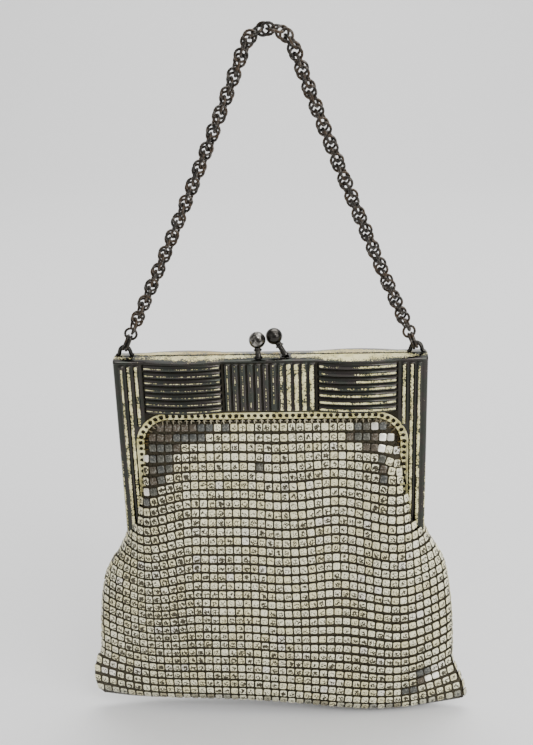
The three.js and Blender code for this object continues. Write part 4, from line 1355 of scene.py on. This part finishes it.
# How many grid lines lie beside the centre panel, on a side panel, on a leg, down a leg and on a side wall
GAP_LINES, PANEL_LINES, LEG_LINES, LEG_ROWS, WALL_LINES = 3, 20, 36, 54, 4
PANEL_END, ROW_STEP, LEG_ROWS_START = 2.2, 0.3, 1.0
# Distances of the grid lines from the end of a panel, and of the rows from its lower edge
END_LINES = np.array([0.15, 0.35, 0.6, 0.9, 1.4])
STEP_ROWS = np.array([0.15, 0.3, 0.45, 0.7])
side_way = np.concatenate([
    np.linspace(CENTRE_HALF, SIDE_INNER, GAP_LINES)[1:], SIDE_INNER + END_LINES,
    np.linspace(SIDE_INNER + PANEL_END, SIDE_OUTER - PANEL_END, PANEL_LINES), SIDE_OUTER - END_LINES[::-1],
    [SIDE_OUTER], np.linspace(SIDE_OUTER, EDGE_START, LEG_LINES)[1:]])
centre_way = np.linspace(-CENTRE_HALF, CENTRE_HALF, CENTRE_RIBS * RIB_LINES + 1)
columns = np.concatenate([-side_way[::-1], centre_way, side_way])
rows = np.concatenate([
    [0, -ROW_STEP], np.linspace(SIDE_RIB_TOP, SIDE_BOTTOM, SIDE_RIBS * RIB_LINES + 1),
    SIDE_BOTTOM - STEP_ROWS,
    np.linspace(SIDE_BOTTOM - LEG_ROWS_START, -LEG_LENGTH + 2 * ROW_STEP, LEG_ROWS),
    [-LEG_LENGTH + ROW_STEP, -LEG_LENGTH]])


def edge_points():
    """X and Y of the round outer edge on the right and of the side wall behind it."""
    bend = [(EDGE_START + EDGE_RADIUS * math.sin(QUARTER_TURN * i / EDGE_STEPS),
             -HALF_DEPTH + EDGE_RADIUS * (1 - math.cos(QUARTER_TURN * i / EDGE_STEPS)))
            for i in range(1, EDGE_STEPS + 1)]
    wall_ways = np.linspace(-HALF_DEPTH + EDGE_RADIUS, -PARTING_GAP, WALL_LINES)[1:]
    return np.array(bend + [(FRAME_HALF_WIDTH, y) for y in wall_ways]).T


def to_mouth_edge(x, z):
    """The nearest point on the edge of the sheet round the mouth."""
    half, top = RIM_HALF_WIDTH - MOUTH_EDGE, RIM_TOP - MOUTH_EDGE
    side = 1 if x > 0 else -1
    beside, above = abs(x) - CORNER_X, z - CORNER_Z
    if beside > 0 and above > 0:
        scale = (RIM_CORNER - MOUTH_EDGE) / math.hypot(beside, above)
        return side * (CORNER_X + beside * scale), CORNER_Z + above * scale
    if half - abs(x) < top - z:
        return side * half, z
    return x, top


def stamped_sheet():
    """Points and faces of one half's sheet, and the numbers for its enamel and its polish."""
    edge_x, edge_y = edge_points()
    all_x = np.concatenate([-edge_x[::-1], columns, edge_x])
    all_y = np.concatenate([edge_y[::-1], np.full(len(columns), -HALF_DEPTH), edge_y])
    width = len(all_x)
    x, z = (lines.ravel() for lines in np.meshgrid(all_x, rows))
    inside = inside_mouth(x, z) > MOUTH_EDGE
    corners = [r * width + c for r in range(len(rows) - 1) for c in range(width - 1)]
    quads = [(a, a + width, a + width + 1, a + 1) for a in corners]
    quads = [quad for quad in quads if not all(inside[list(quad)])]
    for corner in {corner for quad in quads for corner in quad if inside[corner]}:
        x[corner], z[corner] = to_mouth_edge(x[corner], z[corner])
    beside = np.abs(x)
    height, ribs = relief(x, z)
    y = np.tile(all_y, len(rows)) - np.where(beside <= EDGE_START, height, 0)
    edge = smooth(beside, FRAME_HALF_WIDTH - EDGE_SHINE_START, FRAME_HALF_WIDTH - EDGE_SHINE_FULL)
    handled = np.maximum(beside > SIDE_OUTER, (x > HANDLED_START) & (x < CENTRE_HALF))
    polish = np.maximum(np.maximum(ribs, edge * EDGE_POLISH), handled * GROOVE_POLISH)
    return np.stack([x, y, z], axis=1), quads, {"enamel": enamel_left(x, z, ribs), "polish": polish}


sheet_points, sheet_faces, sheet_numbers = stamped_sheet()
print("stamped sheet", len(sheet_faces), "faces")

# %% [markdown]
# ## Worn ivory on black
# Where the enamel is gone the ribs are dark glossy metal and the grooves are black with old dirt. The
# material compares the number that the rule left on the mesh with two noises, a broad one for patches and a
# fine one for the ragged edges of the enamel. A second number tells rib from groove, and a third how stained
# the enamel is.

# %% Frame enamel
FRAME_IVORY = (0.7, 0.63, 0.27, 1)
FRAME_PALE = (0.9, 0.85, 0.47, 1)
OCHRE_STAIN = (0.44, 0.32, 0.11, 1)
RIB_GREEN = (0.047, 0.051, 0.044, 1)
RIB_BROWN = (0.056, 0.05, 0.047, 1)
GROOVE_BLACK = (0.021, 0.019, 0.014, 1)
enamel = Finish("worn_frame_enamel")
fine = enamel.grain(0.55, 3.0)
patch = enamel.grain(4.5, 3.0, 0.4)
ragged = enamel.calc("MULTIPLY_ADD", fine, 1.5, -0.75)
cloudy = enamel.calc("MULTIPLY_ADD", patch, 0.9, -0.45)
level = enamel.calc("ADD", enamel.calc("ADD", ragged, cloudy), enamel.painted("enamel"))
kept = enamel.ramp(level, 0.43, 0.53)
ivory = enamel.mix(enamel.ramp(patch, 0.4, 0.62), FRAME_IVORY, FRAME_PALE)
stained = enamel.ramp(enamel.calc("ADD", cloudy, enamel.painted("stain")), 0.1, 0.75)
ivory = enamel.mix(enamel.calc("MULTIPLY", stained, 0.85), ivory, OCHRE_STAIN)
ribs_dark = enamel.mix(enamel.ramp(patch, 0.42, 0.58), RIB_GREEN, RIB_BROWN)
black = enamel.mix(enamel.ramp(enamel.painted("polish"), 0.15, 0.75), GROOVE_BLACK, ribs_dark)
enamel.shade({
    "Base Color": enamel.mix(kept, black, ivory),
    "Metallic": enamel.ramp(kept, 1.3, -0.2),
    "Roughness": enamel.ramp(enamel.calc("ADD", fine, kept), -0.6, 3.2),
    "Normal": enamel.bump(kept, 0.5, 0.12),
})


def half_turn(points):
    """The back half of the frame is the front half turned round."""
    return np.asarray(points) * (-1, -1, 1)


# %% Front and back sheets
SHEET_THICK = 0.7
halves = {"front": np.asarray, "back": half_turn}
for label, turned in halves.items():
    sheet = metal_sheet(f"stamped_sheet_{label}", turned(sheet_points), sheet_faces, SHEET_THICK, enamel)
    for number, values in sheet_numbers.items():
        write(sheet, number, values)
    clean(sheet)
    sheet.data.shade_smooth()
    hand_over(sheet, f"frame_{label}")

# %% [markdown]
# ## Roof of the frame
# The top of each half slopes up to the parting line. Its front edge is a thin dark lip that swells forward
# over the two pillowed panels. It is a loft: one cross-section, moved along the frame, whose front point
# follows the pillows and rounds off at the corners.

# %% Roof loft
ROOF_RISE, ROOF_STEP, ROOF_GAP, ROOF_START = 0.8, 1.0, 0.32, 0.12
ROOF_END = 57
ROOF_SHARP = math.radians(45)
LIP_OUT = 0.25
CORNER_LINES = np.array([1.2, 0.7, 0.3, 0.1, 0])
# Way back from the front of the lip, height and enamel, of the points under the lip and round it
ROOF_LIP = [(0.35, -0.75, 0), (0.02, -0.55, 0), (-0.05, -0.25, 0), (0.1, 0.02, 0.1)]
LIP_END, LIP_END_ENAMEL, LIP_END_RUBBED = 0.4, 0.5, 0.6
# Y, height and enamel of the points from the parting line back under the roof
ROOF_UNDER = [(-ROOF_GAP - 0.25, ROOF_RISE, 0.4), (-ROOF_GAP, ROOF_RISE - 0.3, 0), (-PARTING_GAP, -0.1, 0),
              (-PARTING_GAP, -0.4, 0), (-1.2, -0.45, 0)]
# The last point, its way back from the front of the lip and its height
UNDER_LIP, UNDER_HEIGHT = 0.9, -0.75
ROOF_ENAMEL = 0.95
# Share of the slope from the lip to the parting line, and how much of the wear shows there
ROOF_SLOPE = [(0.1, 1.15), (0.2, 1.05), (0.3, 0.85), (0.42, 0.65), (0.56, 0.5), (0.7, 0.48), (0.84, 0.58)]
# Place across, width and strength, seen from the front: enamel rubbed off and stains left on it
ROOF_WEAR = {
    "front": [(-57, 4, 0.5), (-48, 8, 0.4), (-33, 6, 0.15), (-8, 7, 0.35), (8, 7, 0.45), (30, 12, -0.2),
              (57, 5, 0.5)],
    "back": [(-57, 6, 0.5), (-36, 9, 0.15), (-6, 8, 0.75), (11, 7, 0.65), (40, 9, 0.3), (57, 6, 0.6)],
}
ROOF_STAINS = {
    "front": [(-30, 10, 0.2), (-52, 7, 0.25), (4, 6, 0.25), (45, 12, 0.08)],
    "back": [(-26, 12, 0.6), (2, 9, 0.5), (-50, 8, 0.25), (30, 14, 0.3)],
}
ROOF_BASE_WEAR, ROOF_BASE_STAIN = 0.57, 0.14


def roof_front(x):
    corner = np.clip((np.abs(x) - EDGE_START) / EDGE_RADIUS, 0, 1)
    return -HALF_DEPTH - LIP_OUT - pillow(x) + EDGE_RADIUS * (1 - np.sqrt(1 - corner * corner))


def spread(spots, x):
    """The sum of a few soft spots at one place across the frame."""
    return sum(most * hump(x, middle, width) for middle, width, most in spots)


def roof_section(front, wear):
    """Y, Z and enamel of one cross-section, from under the lip over the top to the parting line and back."""
    lip = [(front + back, height, left) for back, height, left in ROOF_LIP]
    lip.append((front + LIP_END, ROOF_START, LIP_END_ENAMEL - LIP_END_RUBBED * wear))
    slope = [(front * (1 - part), ROOF_START + (ROOF_RISE - ROOF_START) * math.sin(QUARTER_TURN * part),
              ROOF_ENAMEL - rubbed * wear) for part, rubbed in ROOF_SLOPE]
    return lip + slope + ROOF_UNDER + [(front + UNDER_LIP, UNDER_HEIGHT, 0)]


def roof_loft(label):
    """Points, faces and numbers of one half's roof. The back half is turned round later."""
    corner = FRAME_HALF_WIDTH - CORNER_LINES
    stations = np.concatenate([-corner[::-1], np.arange(-ROOF_END, ROOF_END + 0.1, ROOF_STEP), corner])
    points, left_over, stains = [], [], []
    for x in stations:
        seen_at = x if label == "front" else -x
        section = roof_section(roof_front(x), ROOF_BASE_WEAR + spread(ROOF_WEAR[label], seen_at))
        points.extend((x, y, z) for y, z, left in section)
        left_over.extend(left for y, z, left in section)
        stains.extend([ROOF_BASE_STAIN + spread(ROOF_STAINS[label], seen_at)] * len(section))
    sides = len(points) // len(stations)
    faces = ring_faces(len(stations), sides)
    faces.append(tuple(range(sides)))
    faces.append(tuple(reversed(range(len(points) - sides, len(points)))))
    return points, faces, {"enamel": left_over, "stain": stains, "polish": [EDGE_POLISH] * len(points)}


for label, turned in halves.items():
    roof_points, roof_faces, roof_numbers = roof_loft(label)
    roof = mesh_piece(f"frame_roof_{label}", turned(roof_points), roof_faces)
    for number, values in roof_numbers.items():
        write(roof, number, values)
    clean(roof, FINE_WELD)
    roof.data.materials.append(enamel.material)
    roof.data.set_sharp_from_angle(angle=ROOF_SHARP)
    hand_over(roof)
    print(roof.name, len(roof.data.polygons), "faces")

# %% [markdown]
# ## Pierced rim and its lip
# The cloth is laced to a narrow strip with one hole after another, which follows the arch of the mouth. A
# flat cell with one hole is repeated into a straight strip, and the tree then bends the strip along the
# arch: each point's way along the strip becomes a way along the curve. A round lip covers the joint
# between strip and sheet, and the edge of the cloth lies flat behind the holes.

# %% Rim cell
RIM_HOLES, RIM_HOLE, HOLE_SIDES = 78, 0.78, 16
RIM_SHEET = 0.8
RIM_END = -LEG_LENGTH + 1
ARCH_LEG_STEPS, ARCH_CORNER_STEPS = 12, 24
CELL_WELD = 0.02
# Enamel at the outer front edge of a cell, round its hole in front and behind, and at its outer back edge
CELL_ENAMEL = (0.95, 0.5, 0.1, 0.5)


def arch_way(offset, y):
    """The arch from the left leg's end to the right one's, moved outwards by offset."""
    radius = RIM_CORNER + offset
    half = RIM_HALF_WIDTH + offset
    leg = np.linspace(RIM_END, CORNER_Z, ARCH_LEG_STEPS)
    way = [(-half, y, z) for z in leg]
    for quarter, side in enumerate((-1, 1)):
        for step in range(1, ARCH_CORNER_STEPS + 1):
            angle = math.radians(180 - 90 * quarter - 90 * step / ARCH_CORNER_STEPS)
            way.append((side * CORNER_X + radius * math.cos(angle), y, CORNER_Z + radius * math.sin(angle)))
    way.extend((half, y, z) for z in leg[-2::-1])
    return way


rim_way = arch_way(0, -RIM_DEPTH)
rim_length = float(way_along(rim_way)[-1])
rim_pitch = rim_length / RIM_HOLES
print("rim", round(rim_length, 1), "mm,", RIM_HOLES, "holes at", round(rim_pitch, 2), "mm")


def rim_cell():
    """A flat cell with its hole: X along the strip, Y into the mouth, Z back through the sheet."""
    points = []
    for depth, on_border in ((0, True), (0, False), (RIM_SHEET, False), (RIM_SHEET, True)):
        for i in range(HOLE_SIDES):
            angle = 2 * math.pi * i / HOLE_SIDES
            along, inward = math.cos(angle), math.sin(angle)
            if on_border:
                reach = max(abs(along), abs(inward))
                points.append((along / reach * rim_pitch / 2, inward / reach * RIM_WIDTH / 2, depth))
            else:
                points.append((RIM_HOLE * along, RIM_HOLE * inward, depth))
    faces = ring_faces(4, HOLE_SIDES)
    eighth = HOLE_SIDES // 8
    for first in (eighth, 5 * eighth):
        for i in range(first, first + 2 * eighth):
            faces.append((i, 3 * HOLE_SIDES + i, 3 * HOLE_SIDES + i + 1, i + 1))
    made = mesh_piece("rim_cell", points, faces, zero=OWN_ORIGIN)
    write(made, "enamel", np.repeat(CELL_ENAMEL, HOLE_SIDES))
    return made


# %% Tree that bends the pierced strip along the arch
def pierced_tree():
    nodes, given = start_tree("pierced_strip", {
        "Cell": "object", "Holes": int, "Pitch": float, "Finish": "material"})
    arch = nodes("GeometryNodeMeshToCurve", {"Mesh": given["Geometry"]})
    cell = nodes("GeometryNodeObjectInfo", {"Object": given["Cell"]}, "Geometry")
    first = nodes.xyz(X=nodes.calc("MULTIPLY", given["Pitch"], 0.5))
    line = nodes("GeometryNodeMeshLine", {
        "Count": given["Holes"], "Start Location": first, "Offset": nodes.xyz(X=given["Pitch"])})
    laid = nodes("GeometryNodeInstanceOnPoints", {"Points": line, "Instance": cell})
    real = nodes("GeometryNodeRealizeInstances", {"Geometry": laid})
    welded = nodes("GeometryNodeMergeByDistance", {"Geometry": real, "Distance": CELL_WELD * MM})
    straight = nodes("ShaderNodeSeparateXYZ", {0: nodes("GeometryNodeInputPosition")}).node.outputs
    sample = nodes("GeometryNodeSampleCurve", {"Curves": arch, "Length": straight["X"]}, mode="LENGTH")
    at = sample.node.outputs
    inward = nodes.calc_vector("CROSS_PRODUCT", at["Tangent"], (0, -1, 0))
    into = nodes("ShaderNodeVectorMath", {0: inward, "Scale": straight["Y"]}, operation="SCALE")
    beside = nodes.calc_vector("ADD", at["Position"], into)
    bent = nodes.calc_vector("ADD", beside, nodes.xyz(Y=straight["Z"]))
    moved = nodes("GeometryNodeSetPosition", {"Geometry": welded, "Position": bent})
    return end_tree(nodes, moved, given["Finish"])


def turn_piece(piece):
    """Turns a finished mesh half round the purse's upright axis, for the back half of the frame."""
    middle = Matrix.Translation(Vector(ZERO))
    piece.data.transform(middle @ Matrix.Rotation(math.pi, 4, "Z") @ middle.inverted())


# %% Rims and lips
RIM_WELD = 0.005
RIM_SHARP = math.radians(40)
LIP_OFFSET, LIP_RADIUS, LIP_SIDES, LIP_SINK, LIP_ENAMEL = 1.35, 0.27, 10, 0.05, 0.72
EDGE_HALF, EDGE_FRONT, EDGE_BACK = 1.25, 4.2, 3.7


def cloth_edge(name):
    """The edge of the ring cloth, which is laced flat behind the rim: a strip with four sides."""
    corners = ((-EDGE_HALF, EDGE_FRONT), (EDGE_HALF, EDGE_FRONT), (EDGE_HALF, EDGE_BACK),
               (-EDGE_HALF, EDGE_BACK))
    ways = [arch_way(offset, -depth) for offset, depth in corners]
    points = [point for places in zip(*ways) for point in places]
    edge = mesh_piece(name, points, ring_faces(len(ways[0]), len(ways), capped=True))
    clean(edge)
    edge.data.materials.append(ring_steel.material)
    return edge


pierced = pierced_tree()
cell = rim_cell()
lip_way = arch_way(LIP_OFFSET, -HALF_DEPTH + LIP_SINK)
for label in halves:
    rim = run_tree(pierced, line_host("rim_way", [rim_way]), f"pierced_rim_{label}", {
        "Cell": cell, "Holes": RIM_HOLES, "Pitch": rim_pitch * MM, "Finish": enamel.material})
    clean(rim, RIM_WELD, close=True)
    rim.data.set_sharp_from_angle(angle=RIM_SHARP)
    lip = bend_wire(f"mouth_lip_{label}", [lip_way], LIP_RADIUS, LIP_SIDES, enamel)
    lip.data.set_sharp_from_angle(angle=WIRE_SHARP)
    write(lip, "enamel", np.full(len(lip.data.vertices), LIP_ENAMEL))
    edge = cloth_edge(f"cloth_edge_{label}")
    for piece, slot in ((rim, "frame_enamel"), (lip, "frame_enamel"), (edge, "mesh_enamel")):
        if label == "back":
            turn_piece(piece)
        hand_over(piece)
bpy.data.objects.remove(cell)

# %% [markdown]
# ## Lacing rings
# A small ring passes through every hole of the rim, and a second one hangs in it and holds the first tiles.
# They have gone brown and golden, most of all in the corners, where there is room for more rows. The laying
# tree puts the first row on edge and the others flat behind the tiles.

# %% Lacing rings
LACING_REACH, LACING_BACK, FLAT_BACK = 2.1, 0.1, 0.15
LACING_TURN = math.radians(10)
LACING_ROWS = (3.0, 4.5, 6.0)
LACING_CORNER = 38.0
LACING_END = LEG_LENGTH - 22
LACING_LEAN, LACING_SEED = 12, 11
TANGENT_STEP = 0.3
PALE_REACH, PALE_HEIGHT = 1.5, RIM_TOP - 6
BRASS_DARK = (0.028, 0.023, 0.013, 1)
BRASS_GOLD = (0.15, 0.105, 0.042, 1)
PALE_WIRE = (0.62, 0.57, 0.43, 1)
brass = Finish("tarnished_brass", Metallic=0.95)
tarnish = brass.grain(2.2, 3.0)
golden = brass.mix(brass.ramp(tarnish, 0.4, 0.6), BRASS_DARK, BRASS_GOLD)
brass.shade({"Base Color": brass.mix(brass.painted("pale"), golden, PALE_WIRE),
             "Roughness": brass.ramp(tarnish, 1.3, -0.1)})


def lacing_grid():
    """Places and directions of the rings: one on edge in every hole, then rows of flat ones."""
    way = np.array(rim_way)
    along = way_along(way)
    places = (np.arange(RIM_HOLES) + 0.5) * rim_pitch
    at, ahead_by = (np.stack([np.interp(places + step, along, line) for line in way.T], axis=1)
                    for step in (0, TANGENT_STEP))
    tangent = unit(ahead_by - at)
    inward = np.cross(tangent, (0, -1, 0))
    side = np.where(np.arange(RIM_HOLES) % 2, 1, -1)[:, None] * math.sin(LACING_TURN)
    axis = tangent * math.cos(LACING_TURN) + np.array([0, 1, 0]) * side
    centre = at + inward * LACING_REACH + (0, LACING_BACK, 0)
    found = [np.concatenate([centre, inward, np.cross(axis, inward), axis], axis=1)]
    out = np.tile((0, -1.0, 0), (RIM_HOLES, 1))
    in_corner = (np.abs(at[:, 0]) > LACING_CORNER) & (at[:, 2] > CORNER_Z)
    for number, reach in enumerate(LACING_ROWS):
        centre = at + inward * reach + (0, FLAT_BACK, 0)
        flat_rings = np.concatenate([centre, tangent, np.cross(out, tangent), out], axis=1)
        found.append(flat_rings[in_corner | (number == 0)])
    grid = np.concatenate(found)
    return grid[np.abs(grid[:, 2]) < LACING_END]


lacing = lacing_grid()
pale = np.clip(PALE_REACH - np.abs(lacing[:, 0]) / LACING_CORNER, 0, 1) * (lacing[:, 2] > PALE_HEIGHT)
ring = ring_template()
for label in halves:
    rings = lay_shapes(f"lacing_rings_{label}", ring, lacing, 0, LACING_LEAN, LACING_SEED, brass, pale=pale)
    if label == "back":
        turn_piece(rings)
    rings.data.shade_smooth()
    hand_over(rings)
bpy.data.objects.remove(ring)

# %% [markdown]
# ## Hinge lugs and the lock's tongue
# At the end of each leg a lug reaches back over the pin, so that the halves turn on one another. On the roof
# a small tongue from the back half carries the second ball across the parting line. All are plain plates:
# an outline pushed through its thickness, with a small bevel.

# %% Lugs and tongue
HINGE_HEIGHT = -68.5
LUG_RADIUS, LUG_ROOT, LUG_THICK, LUG_STEPS, LUG_BEVEL = 2.4, -4.9, 1.0, 12, 0.15
LUG_PLACES = {"front": 53.0, "back": 54.3}
TONGUE_LEFT, TONGUE_RIGHT, TONGUE_FRONT, TONGUE_BACK, TONGUE_BEVEL = 4.1, 8.3, -3.9, 1.2, 0.2
TONGUE_OUTLINE = [(TONGUE_FRONT, 0.3), (TONGUE_FRONT, 0.72), (TONGUE_BACK, 1.02), (TONGUE_BACK, 0.5)]
BEVEL_STEPS = 2

lug_outline = [(LUG_ROOT, HINGE_HEIGHT - LUG_RADIUS)]
for step in range(LUG_STEPS + 1):
    angle = math.pi * (step / LUG_STEPS - 0.5)
    lug_outline.append((LUG_RADIUS * math.cos(angle), HINGE_HEIGHT + LUG_RADIUS * math.sin(angle)))
lug_outline.append((LUG_ROOT, HINGE_HEIGHT + LUG_RADIUS))


def plates(name, outline, spans, bevel, turned=np.asarray):
    """One outline in Y and Z, pushed through from left to right in each span."""
    points, faces = [], []
    for span in spans:
        first = len(points)
        points.extend((x, y, z) for x in span for y, z in outline)
        faces.extend(tuple(first + corner for corner in face)
                     for face in ring_faces(2, len(outline), capped=True))
    piece = mesh_piece(name, turned(points), faces)
    clean(piece, FINE_WELD)
    piece.data.materials.append(dark_steel.material)
    soft = piece.modifiers.new("soft_edges", "BEVEL")
    soft.width = bevel * MM
    soft.segments = BEVEL_STEPS
    hand_over(piece)


for label, turned in halves.items():
    inner, outer = LUG_PLACES[label], LUG_PLACES[label] + LUG_THICK
    plates(f"hinge_lugs_{label}", lug_outline, [(inner, outer), (-outer, -inner)], LUG_BEVEL, turned)
plates("lock_tongue", TONGUE_OUTLINE, [(TONGUE_LEFT, TONGUE_RIGHT)], TONGUE_BEVEL)
print("lugs and tongue done")
